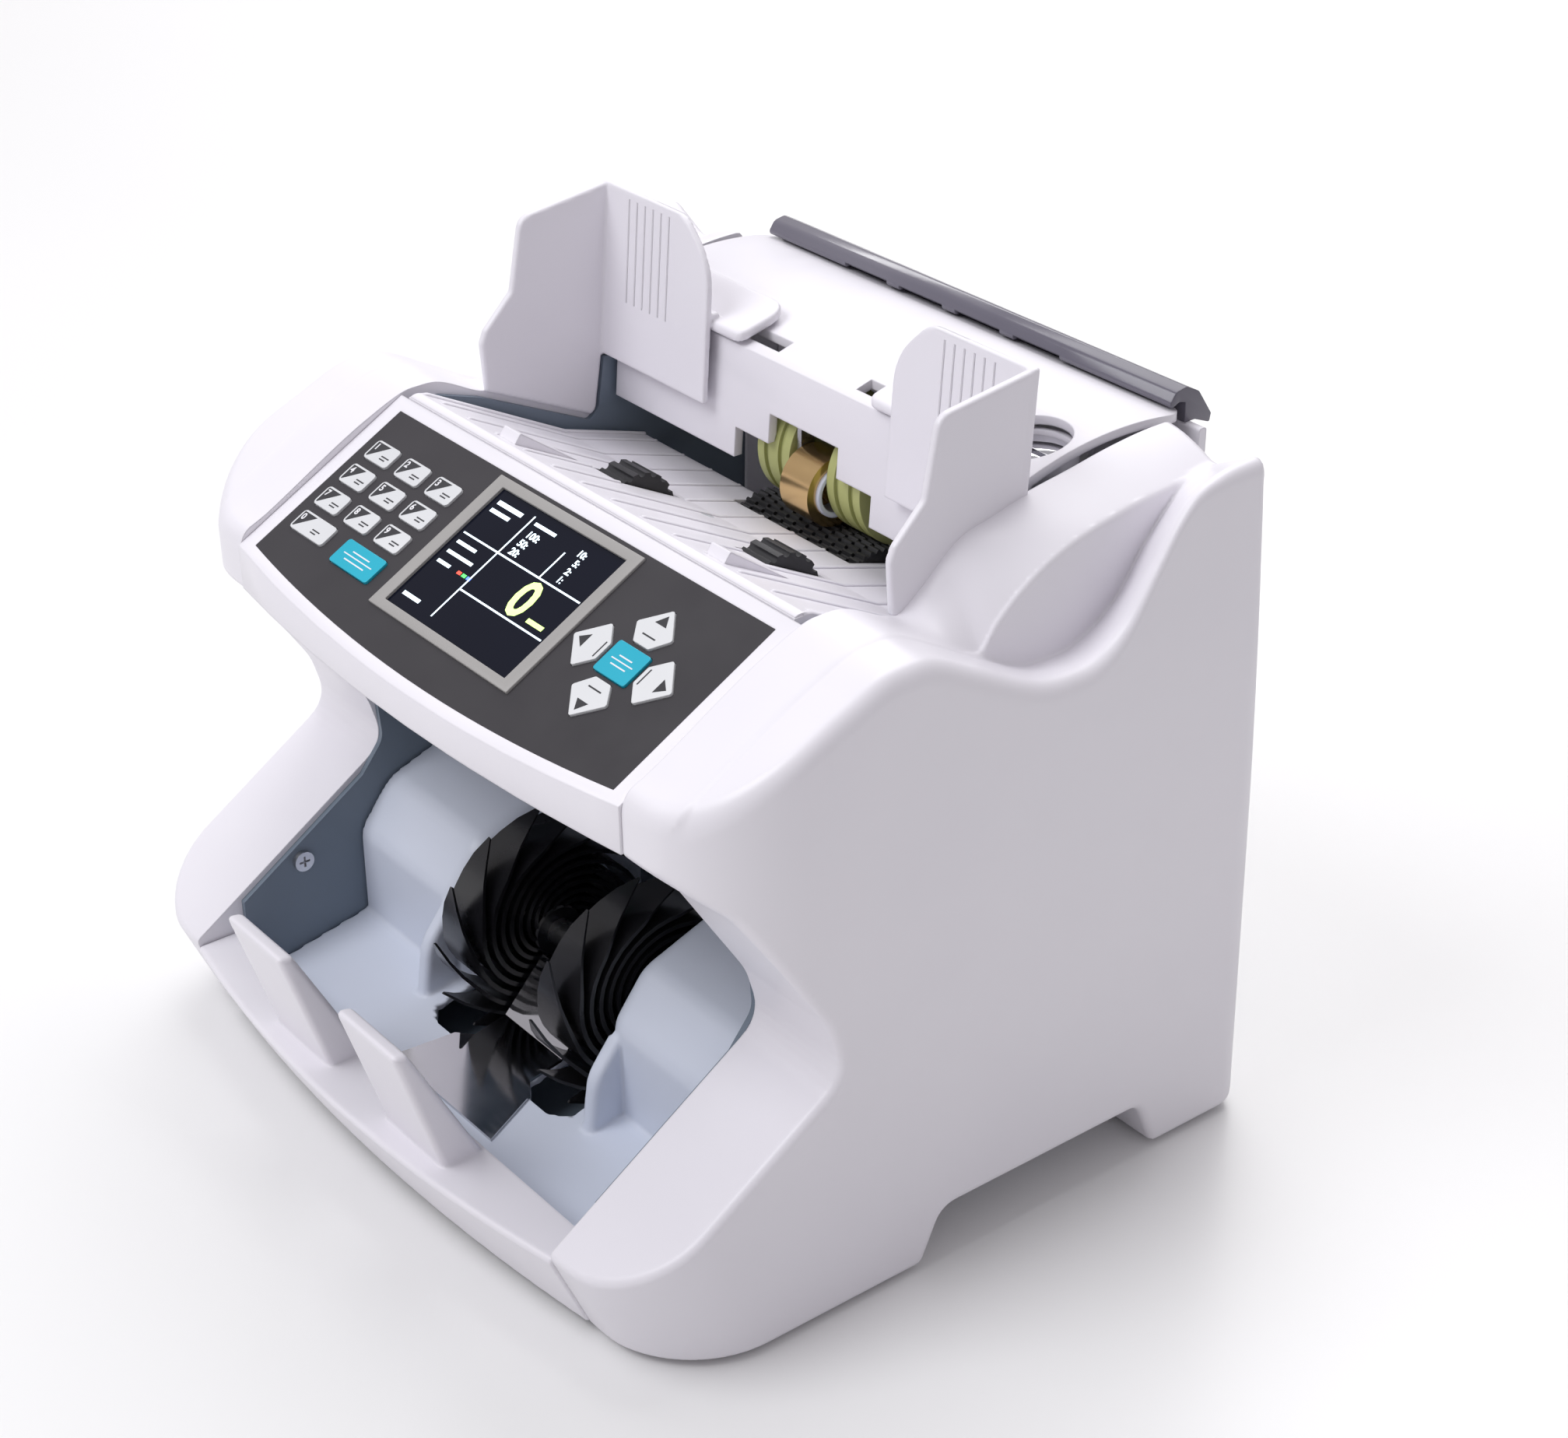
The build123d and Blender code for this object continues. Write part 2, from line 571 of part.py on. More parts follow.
def sensing_bracket():
    """Sprung arm that carries the small roller's pin, screwed under the top cover."""
    pin = rod(SENSING_AXIS, -8.4, 7.6, 2.5)
    ear = slab([(41.8, 181.5), (48.2, 181.5), (47.4, 206), (44.6, 212), (43.4, 212), (42.6, 206)], -8.4, -6.4)
    return pin + ear + block(-8.4, 8.2, 43.4, 44.6, 207.5, 220.4)


def pulley(axis, x0, x1, radius, bore):
    wheel = tube(axis, x0, x1, radius, bore)
    flange = tube(axis, x1, x1 + 0.8, radius + 1.6, bore)
    return wheel + flange


def belt(pulleys, x0, x1):
    inner = make_hull([edge for (y, z), r in pulleys for edge in (Pos(y, z) * Circle(r + RUNNING)).edges()])
    outer = make_hull([edge for (y, z), r in pulleys for edge in (Pos(y, z) * Circle(r + BELT_T)).edges()])
    return Pos(x0, 0, 0) * extrude(Plane.YZ * (outer - inner), x1 - x0)


def drive_belts():
    main = belt(DRIVE_PULLEYS, BELT_PLANE_X + 0.4, BELT_PLANE_X + 4.6)
    pickup = belt([(FEED_AXIS, PICKUP_PULLEY_R), (PICKUP_AXIS, PICKUP_PULLEY_R)], 115.4, 118.6)
    return [main, pickup]


def shaft_bearings():
    rings = []
    for axis, bore, ring in SHAFTS:
        for x0, x1 in ((PLATE_IN_X, SEAM_X + 0.9), (-SEAM_X - 0.9, -PLATE_IN_X)):
            rings.append(tube(axis, x0, x1, ring, bore + RUNNING))
    return rings


def drive_motor():
    can = rod(MOTOR_AXIS, 48, PLATE_IN_X, 21)
    boss = rod(MOTOR_AXIS, PLATE_IN_X, SEAM_X, 6)
    return can - rod(MOTOR_AXIS, 90, 110, 2.5 + RUNNING) + boss - rod(MOTOR_AXIS, 90, 110, 2.5 + RUNNING)


# ---------------------------------------------------------------- rear door and electrics
DOOR_SIDE = [
    (102.6, 47, 1), (106.2, 47, 2), (110.2, 221.5, 1), (107.2, 221.5, 1),
]
RAIL_SIDE = [
    (107.2, 221.6), (111.4, 221.6, 1), (117.6, 219.0, 0.6), (118.2, 221.8, 0.6), (112.6, 230.5, 3),
    (107.5, 233.2, 3), (103.0, 232.4, 3), (100.6, 229.0, 1.5), (101.4, 227.6, 0.6), (104.5, 229.0, 1),
    (107.2, 228.2),
]


def rear_door():
    door = slab(DOOR_SIDE, -DOOR_X, DOOR_X)
    ribs = [slab([(100.5, 60), (103.5, 60), (107.4, 216), (104.2, 216)], x, x + 2) for x in (-60, 58)]
    for rib in ribs:
        door += rib
    flange = block(101.2, 102.6, 88, 106, 58, 214) & slab([(88, 58), (106, 58), (110, 214), (94, 214)], 100, 104)
    corner = block(98.2, 110, 98, 112, 40, 57)
    door -= both(corner)
    return door + both(flange + rod(DOOR_AXIS, 94, 98.2, 3.4) + rod(DOOR_AXIS, 94, 101, 2.4))


def grip_rail():
    rail = slab(RAIL_SIDE, -98, 98)
    for x in (-46, -18, 10, 38):
        rail -= Pos(x, 99.2, 231) * Cylinder(11, 12) & block(x - 11, x + 11, 99, 102.6, 226, 229.4)
    return rail


def power_inlet():
    shell = block(-83.5, -56.5, 78, 98, 12.5, 32.5) + block(-86, -54, 98, 100, 10.5, 34.5)
    shell -= block(-81.2, -58.8, 84, 101, 15.2, 29.8)
    for x in (-76, -70, -64):
        shell += block(x - 1, x + 1, 84, 97, 20.5, 24.5)
    return shell


def power_rocker():
    wide = slab([(96, 15.5), (97.5, 15.2), (100.2, 15.8), (98.8, 22.6), (99.4, 29.4), (96, 29.8)], -48.8, -38)
    return (wide & block(-48.8, -38, 90, 102, 14, 31)) + rod((97.6, 22.6), -49.6, -37.2, 1.6)


def main_board():
    return block(-108.4, -106.8, -24, 78, 96, 150) + board_posts()


def board_posts():
    posts = rod((-16, 102), -106.8, -105, 2.5)
    for y, z in ((-16, 144), (70, 102), (70, 144)):
        posts += rod((y, z), -106.8, -105, 2.5)
    return posts


def power_supply():
    case = block(-24, 66, 46, 92, PAN_TOP, 44)
    for x in range(-16, 62, 8):
        case -= block(x, x + 3, 40, 60, 14, 36)
    return case


# ---------------------------------------------------------------- write every node
right_cover = side_cover()
save("side_cover_right", right_cover)
save("side_cover_left", mirrored(right_cover))
save("frame_plate_right", frame_plate() - rod(MOTOR_AXIS, 100, 110, 6))
save("frame_plate_left", mirrored(frame_plate()))
save("base_pan", base_pan())
save("rubber_feet", *rubber_feet())
save("plate_screws", *plate_screws())
save("front_lip", front_lip())
save("stacker_housing", stacker_housing() + stacker_hood())
save("stacker_plate", stacker_plate())
save("sensor_lenses", *sensor_lenses())
save("stacker_wheels", *stacker_wheels())
save("stacker_shaft", rod(STACKER_AXIS, -108, 113.5, STACKER_SHAFT_R))
save("stacker_pulley", pulley(STACKER_AXIS, BELT_PLANE_X, BELT_PLANE_X + 5, 20.0, STACKER_SHAFT_R))

save("front_panel", front_panel())
save("keypad_overlay", keypad_overlay())
save("display_bezel", display_bezel())
save("display_screen", display_screen())
save("keypad_board", keypad_board())
save_keys()

save("hopper_tray", hopper_tray())
save("top_cover", top_cover())
right_guide = note_guide()
save("note_guide_right", right_guide)
save("note_guide_left", mirrored(right_guide))
save("gap_knob", gap_knob())

save("pickup_shaft", rod(PICKUP_AXIS, -105.8, 119, SHAFT_R))
save("pickup_rollers", *pickup_rollers())
save("pickup_pulley", pulley(PICKUP_AXIS, 115, 119, PICKUP_PULLEY_R, SHAFT_R))
save("feed_shaft", rod(FEED_AXIS, -108, 119, SHAFT_R))
save("feed_roller", feed_roller())
save("feed_pulley", pulley(FEED_AXIS, BELT_PLANE_X, BELT_PLANE_X + 5, 14.0, SHAFT_R)
     + tube(FEED_AXIS, BELT_PLANE_X + 5, 119, PICKUP_PULLEY_R, SHAFT_R))
save("retard_shaft", rod(RETARD_AXIS, -105.8, 105.8, SHAFT_R))
save("retard_rollers", *retard_rollers())
save("sensing_roller", sensing_roller())
save("sensing_bracket", sensing_bracket())
save("drive_motor", drive_motor())
save("motor_pulley", pulley(MOTOR_AXIS, BELT_PLANE_X, BELT_PLANE_X + 5, 9.0, 1.0)
     + rod(MOTOR_AXIS, 92, BELT_PLANE_X + 6, 2.5))
save("drive_belts", *drive_belts())
save("shaft_bearings", *shaft_bearings())

save("rear_door", rear_door())
save("grip_rail", grip_rail())
save("power_inlet", power_inlet())
save("power_rocker", power_rocker())
save("main_board", main_board())
save("power_supply", power_supply())
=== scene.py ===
import json
import math

import bmesh
import bpy
import numpy as np
from mathutils import Matrix, Vector


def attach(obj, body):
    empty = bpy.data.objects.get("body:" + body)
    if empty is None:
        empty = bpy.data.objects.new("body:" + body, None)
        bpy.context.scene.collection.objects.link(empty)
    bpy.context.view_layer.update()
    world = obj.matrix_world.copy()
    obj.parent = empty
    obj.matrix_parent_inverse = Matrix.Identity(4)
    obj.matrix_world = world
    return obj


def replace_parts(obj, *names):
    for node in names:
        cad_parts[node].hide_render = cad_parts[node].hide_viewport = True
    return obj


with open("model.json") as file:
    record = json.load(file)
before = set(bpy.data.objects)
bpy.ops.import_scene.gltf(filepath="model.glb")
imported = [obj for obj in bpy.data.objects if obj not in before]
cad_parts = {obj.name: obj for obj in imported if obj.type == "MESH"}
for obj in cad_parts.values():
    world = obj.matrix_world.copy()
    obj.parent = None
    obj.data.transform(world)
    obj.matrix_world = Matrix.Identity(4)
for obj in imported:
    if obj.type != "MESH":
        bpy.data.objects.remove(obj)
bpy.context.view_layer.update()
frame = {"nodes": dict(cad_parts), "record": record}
NODES = frame["nodes"]
MM = 0.001
SHIFT = 17.48       # mm from the drawing's datum to the row frame, along y
SIDE_X = 145.0      # mm, outer face of a side cover
SEAM_X = 105.0      # mm, where a side cover meets the middle
PLATE_X = 102.8     # mm, inner face of a frame plate
WHEEL_CENTRE = (-52.0, 47.0)
FEED_CENTRE, FEED_RADIUS = (43.6, 156.8), 16.2
SENSING_CENTRE = (45.0, 185.2)


# ---------------------------------------------------------------- camera
def camera():
    azimuth, elevation, roll = (math.radians(a) for a in (52.679, 29.141, -1.022))
    back = Vector((math.sin(azimuth) * math.cos(elevation), -math.cos(azimuth) * math.cos(elevation),
                   math.sin(elevation)))
    right = (-back).cross(Vector((0, 0, 1))).normalized()
    up = right.cross(-back)
    turned = right * math.cos(roll) + up * math.sin(roll)
    data = bpy.data.cameras.new("camera")
    data.lens, data.sensor_width = 69.967, 36.0
    cam = bpy.data.objects.new("camera", data)
    up = back.cross(turned)
    cam.matrix_world = Matrix((turned, up, back)).transposed().to_4x4()
    cam.location = (0.6936, (-500.2 + SHIFT) * MM, 0.5915)
    bpy.context.scene.collection.objects.link(cam)
    bpy.context.scene.camera = cam


camera()


# ---------------------------------------------------------------- materials
def material(name):
    mat = bpy.data.materials.new(name)
    mat.use_nodes = True
    tree = mat.node_tree
    shader = tree.nodes["Principled BSDF"]
    return mat, tree, shader


def noise_node(tree, scale, detail=3.0, rough=0.5):
    coords = tree.nodes.new("ShaderNodeTexCoord")
    noise = tree.nodes.new("ShaderNodeTexNoise")
    noise.inputs["Scale"].default_value = scale
    noise.inputs["Detail"].default_value = detail
    noise.inputs["Roughness"].default_value = rough
    tree.links.new(coords.outputs["Object"], noise.inputs["Vector"])
    return noise.outputs["Fac"]


def mapped(tree, value, low, high, to_low, to_high):
    node = tree.nodes.new("ShaderNodeMapRange")
    for key, number in (("From Min", low), ("From Max", high), ("To Min", to_low), ("To Max", to_high)):
        node.inputs[key].default_value = number
    tree.links.new(value, node.inputs["Value"])
    return node.outputs["Result"]


def mixed(tree, factor, first, second):
    """Mix of two colours; each is a tuple or a socket."""
    node = tree.nodes.new("ShaderNodeMix")
    node.data_type = "RGBA"
    tree.links.new(factor, node.inputs["Factor"])
    for socket, colour in ((node.inputs["A"], first), (node.inputs["B"], second)):
        if isinstance(colour, tuple):
            socket.default_value = (*colour, 1)
        else:
            tree.links.new(colour, socket)
    return node.outputs["Result"]


def bump(tree, shader, height, strength, distance, edge=0.0):
    node = tree.nodes.new("ShaderNodeBump")
    if edge:
        rounded = tree.nodes.new("ShaderNodeBevel")
        rounded.samples = 4
        rounded.inputs["Radius"].default_value = edge
        tree.links.new(rounded.outputs["Normal"], node.inputs["Normal"])
    node.inputs["Strength"].default_value = strength
    node.inputs["Distance"].default_value = distance
    tree.links.new(height, node.inputs["Height"])
    tree.links.new(node.outputs["Normal"], shader.inputs["Normal"])


def moulded(name, colour, darker, rough=0.36, grain=2600, grain_depth=0.00003, metallic=0.0, edge=0.0):
    """Moulded plastic or rubber: faint cloudiness, fine grain, uneven gloss."""
    mat, tree, shader = material(name)
    cloud = mapped(tree, noise_node(tree, 9), 0.35, 0.7, 0.0, 1.0)
    tree.links.new(mixed(tree, cloud, colour, darker), shader.inputs["Base Color"])
    patches = mapped(tree, noise_node(tree, 45, 5), 0.3, 0.7, rough - 0.05, rough + 0.07)
    tree.links.new(patches, shader.inputs["Roughness"])
    shader.inputs["Metallic"].default_value = metallic
    bump(tree, shader, noise_node(tree, grain, 2), 0.25, grain_depth, edge)
    return mat


WHITE = moulded("white_abs", (0.82, 0.80, 0.845), (0.79, 0.77, 0.82), edge=0.0008)
INNER = moulded("inner_abs", (0.70, 0.74, 0.84), (0.67, 0.715, 0.82), 0.34, edge=0.0008)
SLATE = moulded("slate_sheet", (0.165, 0.205, 0.255), (0.15, 0.185, 0.235), 0.42, 3500)


# ---------------------------------------------------------------- solid fields and their meshes
def rounded_and(radius, *fields):
    """Intersection of solids whose shared edges are rounded."""
    joined = fields[0]
    for field in fields[1:]:
        corner = np.sqrt(np.maximum(joined + radius, 0) ** 2 + np.maximum(field + radius, 0) ** 2)
        joined = np.minimum(-radius, np.maximum(joined, field)) + corner
    return joined


def rounded_or(radius, *fields):
    """Union of solids with filleted inner corners."""
    return -rounded_and(radius, *(-field for field in fields))


def polygon(points, y, z):
    """Signed distance to a closed outline; y and z may be any two axes, and points are pairs of them."""
    nearest = np.full(np.broadcast(y, z).shape, 1e9)
    inside = np.zeros(nearest.shape, bool)
    for (ay, az), (by, bz) in zip(points, points[1:] + points[:1]):
        length2 = (by - ay) ** 2 + (bz - az) ** 2
        along = np.clip(((y - ay) * (by - ay) + (z - az) * (bz - az)) / length2, 0, 1)
        nearest = np.minimum(nearest, (y - ay - along * (by - ay)) ** 2 + (z - az - along * (bz - az)) ** 2)
        if az != bz:
            crosses = (az > z) != (bz > z)
            inside ^= crosses & (y < (by - ay) * (z - az) / (bz - az) + ay)
    distance = np.sqrt(nearest)
    return np.where(inside, -distance, distance)


def softened(corners, steps=6):
    """Outline with its corners rounded; each corner is (a, b) or (a, b, radius)."""
    out = []
    count = len(corners)
    for i, corner in enumerate(corners):
        here = Vector(corner[:2])
        radius = corner[2] if len(corner) > 2 else 0
        if not radius:
            out.append(tuple(here))
            continue
        before = Vector(corners[i - 1][:2]) - here
        after = Vector(corners[(i + 1) % count][:2]) - here
        half = before.angle(after) / 2
        reach = min(radius / math.tan(half), 0.49 * before.length, 0.49 * after.length)
        start, end = here + before.normalized() * reach, here + after.normalized() * reach
        for k in range(steps + 1):
            t = k / steps
            out.append(tuple(start * (1 - t) ** 2 + here * 2 * t * (1 - t) + end * t ** 2))
    return out


def curve(knots, t):
    """Smooth curve through (t, value) knots, with no overshoot."""
    xs = np.array([k[0] for k in knots], float)
    ys = np.array([k[1] for k in knots], float)
    slope = np.diff(ys) / np.diff(xs)
    tangent = np.concatenate(([slope[0]], (slope[:-1] + slope[1:]) / 2, [slope[-1]]))
    flat = np.concatenate(([False], slope[:-1] * slope[1:] <= 0, [False]))
    tangent[flat] = 0
    t = np.clip(t, xs[0], xs[-1])
    k = np.clip(np.searchsorted(xs, t, side="right") - 1, 0, len(slope) - 1)
    h = xs[k + 1] - xs[k]
    s = (t - xs[k]) / h
    return (ys[k] * (1 + 2 * s) * (1 - s) ** 2 + tangent[k] * h * s * (1 - s) ** 2
            + ys[k + 1] * s * s * (3 - 2 * s) + tangent[k + 1] * h * s * s * (s - 1))


def crossings(values, lo, step):
    """Surface-net vertices and quads where a sampled field changes sign."""
    nx, ny, nz = values.shape
    inside = values < 0
    total = np.zeros((nx - 1, ny - 1, nz - 1, 3))
    count = np.zeros((nx - 1, ny - 1, nz - 1))
    corners = [(i, j, k) for i in (0, 1) for j in (0, 1) for k in (0, 1)]
    for a in corners:
        for axis in range(3):
            if a[axis]:
                continue
            b = tuple(1 if n == axis else a[n] for n in range(3))
            va = values[a[0]:nx - 1 + a[0], a[1]:ny - 1 + a[1], a[2]:nz - 1 + a[2]]
            vb = values[b[0]:nx - 1 + b[0], b[1]:ny - 1 + b[1], b[2]:nz - 1 + b[2]]
            hit = (va < 0) != (vb < 0)
            at = np.where(hit, va / np.where(hit, va - vb, 1), 0)
            for n in range(3):
                total[..., n] += np.where(hit, a[n] + (at if n == axis else 0), 0)
            count += hit
    active = count > 0
    index = np.full(active.shape, -1)
    index[active] = np.arange(active.sum())
    cells = np.argwhere(active)
    points = lo + (cells + total[active] / count[active][:, None]) * step
    quads = []
    for axis in range(3):
        u, v = (axis + 1) % 3, (axis + 2) % 3
        near = inside.take(range(values.shape[axis] - 1), axis)
        far = inside.take(range(1, values.shape[axis]), axis)
        for flipped, edge in ((False, near & ~far), (True, far & ~near)):
            at = np.argwhere(edge)
            at = at[(at[:, u] > 0) & (at[:, v] > 0)]
            at = at[(at[:, u] < index.shape[u]) & (at[:, v] < index.shape[v])]
            ring = []
            for du, dv in ((0, 0), (1, 0), (1, 1), (0, 1)):
                cell = at.copy()
                cell[:, u] -= du
                cell[:, v] -= dv
                ring.append(index[cell[:, 0], cell[:, 1], cell[:, 2]])
            ring = np.stack(ring[::-1] if flipped else ring, 1)
            quads.append(ring)
    return points, np.concatenate(quads)


def gradient(field, points, h=0.15):
    out = np.zeros(points.shape)
    for n in range(3):
        shift = np.zeros(3)
        shift[n] = h
        ahead, behind = points + shift, points - shift
        out[:, n] = (field(*ahead.T) - field(*behind.T)) / (2 * h)
    return out


def run_to_seam(points, normals, quads, seam):
    """Runs the open edge of a surface straight out to the plane x = seam and closes it there."""
    edges = np.concatenate([quads[:, [n, (n + 1) % 4]] for n in range(4)])
    key = np.sort(edges, 1) @ np.array([len(points), 1])
    _, first, count = np.unique(key, return_index=True, return_counts=True)
    rim = edges[first[count == 1]]
    following = dict(rim.tolist())
    loops = []
    while following:
        start = next(iter(following))
        loop = [start]
        here = following.pop(start)
        while here != start:
            loop.append(here)
            here = following.pop(here)
        loops.append(loop)
    faces = quads.tolist()
    for loop in loops:
        flat = points[loop]
        flat[:, 0] = seam
        edge, cap = len(points), len(points) + len(loop)
        points = np.concatenate([points, flat, flat])
        normals = np.concatenate([normals, normals[loop], np.tile((-1.0, 0, 0), (len(loop), 1))])
        for i, here in enumerate(loop):
            k = (i + 1) % len(loop)
            faces.append([loop[k], here, edge + i, edge + k])
        faces.append([cap + i for i in range(len(loop))][::-1])
    return points, normals, faces


def net(name, field, lo, hi, step, mat, body="machine", mirror=False, seam=None):
    """A mesh of the surface of a solid field f(x, y, z), negative inside, in mm."""
    lo, step = np.array(lo, float), np.array(step, float)
    axes = [np.arange(lo[n], hi[n] + step[n], step[n]) for n in range(3)]
    x, y, z = np.meshgrid(*axes, indexing="ij", sparse=True)
    points, quads = crossings(field(x, y, z) + 0 * (x + y + z), lo, step)
    for _ in range(3):
        value, slope = field(*points.T), gradient(field, points)
        move = slope * (value / np.maximum((slope ** 2).sum(1), 0.05))[:, None]
        points = points - np.clip(move, -0.6 * step, 0.6 * step)
    normals = gradient(field, points)
    faces = quads.tolist()
    if seam is not None:
        points, normals, faces = run_to_seam(points, normals, quads, seam)
    if mirror:
        points = points * (-1, 1, 1)
        normals = normals * (-1, 1, 1)
        faces = [face[::-1] for face in faces]
    mesh = bpy.data.meshes.new(name)
    mesh.from_pydata(((points + (0, SHIFT, 0)) * MM).tolist(), [], faces)
    mesh.polygons.foreach_set("use_smooth", [True] * len(mesh.polygons))
    length = np.maximum(np.linalg.norm(normals, axis=1), 1e-9)[:, None]
    mesh.normals_split_custom_set_from_vertices((normals / length).tolist())
    piece = bpy.data.objects.new(name, mesh)
    bpy.context.scene.collection.objects.link(piece)
    mesh.materials.append(mat)
    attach(piece, body)
    return piece


# ---------------------------------------------------------------- side covers
COVER = softened([
    (-126.8, 1.8, 2), (-140, 34, 3), (-62, 84, 17), (-67, 102, 26), (-94, 145, 12), (-108, 156.4, 2),
    (-108, 260), (96, 260), (94.5, 222), (102.5, 96, 60), (101.5, 1.8, 6), (62, 1.8, 3), (55, 19, 6),
    (-25, 19, 8), (-33, 1.8, 4),
])
# Heights of the cover's top along y: at the seam, the deck's outer ridge, the scoop's floor and the rim.
NOSE_TOP = [(-120, 163), (-108, 172.6), (-97, 179.5), (-57, 201.0), (-40, 206.6), (-31, 206.2), (-13, 197.2)]
DECK_IN = [(-120, 165.0), (-108, 171.4), (-44.4, 205.6), (-39, 206.3), (-31, 205.8), (-13, 198.5),
           (-2.7, 204.6), (6, 212.1), (12.6, 216.2), (23.7, 218.8), (34.9, 221.5), (53, 224.3), (70.7, 227.1),
           (88, 228.4), (110, 228.4)]
DECK_RIDGE = NOSE_TOP + [(1.5, 190.5), (8, 198), (16, 204.7), (30, 212.5), (56, 218.8), (81, 221.2),
                         (110, 222)]
VALLEY = NOSE_TOP + [(1.5, 188.8), (22.5, 179.9), (36.7, 180.1), (53.6, 189), (64.5, 203.4), (81, 219.4),
                     (110, 220)]
RIM_OUT = [(-120, 160), (-108, 169.5), (-97, 180.5), (-57, 201.6), (-42, 206.4), (-31, 206.0), (-13, 197.0),
           (3, 188.4), (11, 185.4), (24, 184.6), (33, 187), (42, 195.0), (52, 210.5), (60, 222.5),
           (67, 229.2), (76, 231.4), (88, 231.8), (110, 231.8)]


def cover_field(x, y, z):
    """Right side cover, with the leaf-shaped scoop behind its nose."""
    side = x - SIDE_X
    nose = np.where(z > 95, -108.0, -126.0 - 0.425 * z) - y
    wrap = rounded_and(36.0, side, nose)
    wrap = rounded_and(12.0, wrap, y - 103.2)
    inner, ridge, valley, rim = (curve(knots, y) for knots in (DECK_IN, DECK_RIDGE, VALLEY, RIM_OUT))
    across = np.clip((x - SEAM_X) / 20.0, 0, 1)
    deck_top = (inner + (ridge - inner) * across ** 1.6)
    deck = rounded_and(1.6, (z - deck_top) * 0.75, x - 126.5)
    outward = np.clip((x - 125.0) / 20.0, -0.4, 1.2)
    rim_top = valley + (rim - valley) * outward
    lower = (z - rim_top) * 0.7
    top = rounded_or(1.4, deck, lower)
    shape = rounded_and(5.0, top, wrap)
    return rounded_and(2.6, shape, polygon(COVER, y, z))


def side_cover(name, mirror):
    return net(name, cover_field, (SEAM_X, -146, -1), (SIDE_X + 2, 106, 236), (1.0, 1.5, 1.5), WHITE,
               mirror=mirror, seam=SEAM_X)


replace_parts(side_cover("cover_right", False), "side_cover_right")
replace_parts(side_cover("cover_left", True), "side_cover_left")


# ---------------------------------------------------------------- small meshes
def mesh_piece(name, points, faces, mat, body="machine", slot="white_plastic", smooth=True):
    """A mesh object from points in mm."""
    mesh = bpy.data.meshes.new(name)
    placed = (np.array(points, float) + (0, SHIFT, 0)) * MM
    mesh.from_pydata(placed.tolist(), [], [list(face) for face in faces])
    mesh.polygons.foreach_set("use_smooth", [smooth] * len(mesh.polygons))
    piece = bpy.data.objects.new(name, mesh)
    bpy.context.scene.collection.objects.link(piece)
    if smooth:
        mesh.set_sharp_from_angle(angle=math.radians(35))
    mesh.materials.append(mat)
    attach(piece, body)
    return piece


def swept(rings, capped=True, closed=False):
    """Points and faces of a skin over a row of equal rings."""
    rings = np.array(rings, float)
    rows, count, _ = rings.shape
    faces = []
    for i in range(rows if closed else rows - 1):
        for j in range(count):
            a, b = i * count, (i + 1) % rows * count
            k = (j + 1) % count
            faces.append((a + j, a + k, b + k, b + j))
    if capped and not closed:
        faces.append(tuple(range(count))[::-1])
        faces.append(tuple((rows - 1) * count + j for j in range(count)))
    return rings.reshape(-1, 3), faces


def together(*bodies):
    """Joins several (points, faces) pairs into one."""
    points, faces, start = [], [], 0
    for some, more in bodies:
        points.append(np.array(some, float))
        faces += [tuple(i + start for i in face) for face in more]
        start += len(some)
    return np.concatenate(points), faces


def lathe(profile, axis, count=64):
    """Rings about an X axis at (y, z); the profile is a closed row of (x, radius)."""
    rings = []
    for k in range(count):
        a = 2 * math.pi * k / count
        rings.append([(x, axis[0] + r * math.cos(a), axis[1] + r * math.sin(a)) for x, r in profile])
    return swept(rings, closed=True)


def bar(path, width, height, up):
    """A low half-round bar along a path of points; up is the direction it stands in."""
    rings = []
    path = [Vector(p) for p in path]
    up = Vector(up).normalized()
    for i, here in enumerate(path):
        along = (path[min(i + 1, len(path) - 1)] - path[max(i - 1, 0)]).normalized()
        side = along.cross(up).normalized()
        ring = []
        for k in range(7):
            a = math.pi * k / 6
            ring.append(here + side * (width / 2 * math.cos(a)) + up * (height * math.sin(a)))
        rings.append([tuple(p) for p in ring])
    return swept(rings)


# ---------------------------------------------------------------- stacker moulding
HUMP = softened([(-76, 10), (-75.5, 55, 12), (-63, 71, 16), (-36, 80.5), (2, 92), (2, 10)])
FIN = softened([(-89.2, 16), (-85.6, 40, 16), (-74.4, 54, 1.5), (-74, 16)])


def floor_height(y):
    return np.where(y < -76, 16.5 + (y + 112) * 0.2, 23.7 + (y + 76) * 0.02)


def housing_field(x, y, z):
    across = np.abs(x)
    top = floor_height(y)
    deck = rounded_and(0.6, z - top, top - 2.5 - z, across - PLATE_X, -122.3 - y, y - 2)
    hump = rounded_and(9.0, polygon(HUMP, y, z), 42.0 - across)
    hump = rounded_and(0.8, hump, across - PLATE_X, y - 2, top - 1 - z)
    hollow = rounded_and(3.0, polygon(HUMP, y, z) + 3.0, 45.5 - across)
    hump = np.maximum(hump, -hollow)
    fin = rounded_and(2.2, polygon(FIN, y, z), 45.2 - across, across - 51.4)
    fin = np.maximum(fin, top - 1 - z)
    body = rounded_or(1.2, deck, rounded_or(0.8, hump, fin))
    taper = np.maximum(-87.4 - y, 0) * 1.475
    slot = np.maximum(np.maximum(across - 38.8 + taper, 16.4 + taper - across), -91.4 - y)
    wheels = np.maximum(across - 39, -71.4 - y)
    return np.maximum(np.maximum(body, -slot), -np.maximum(wheels, 5 - z))


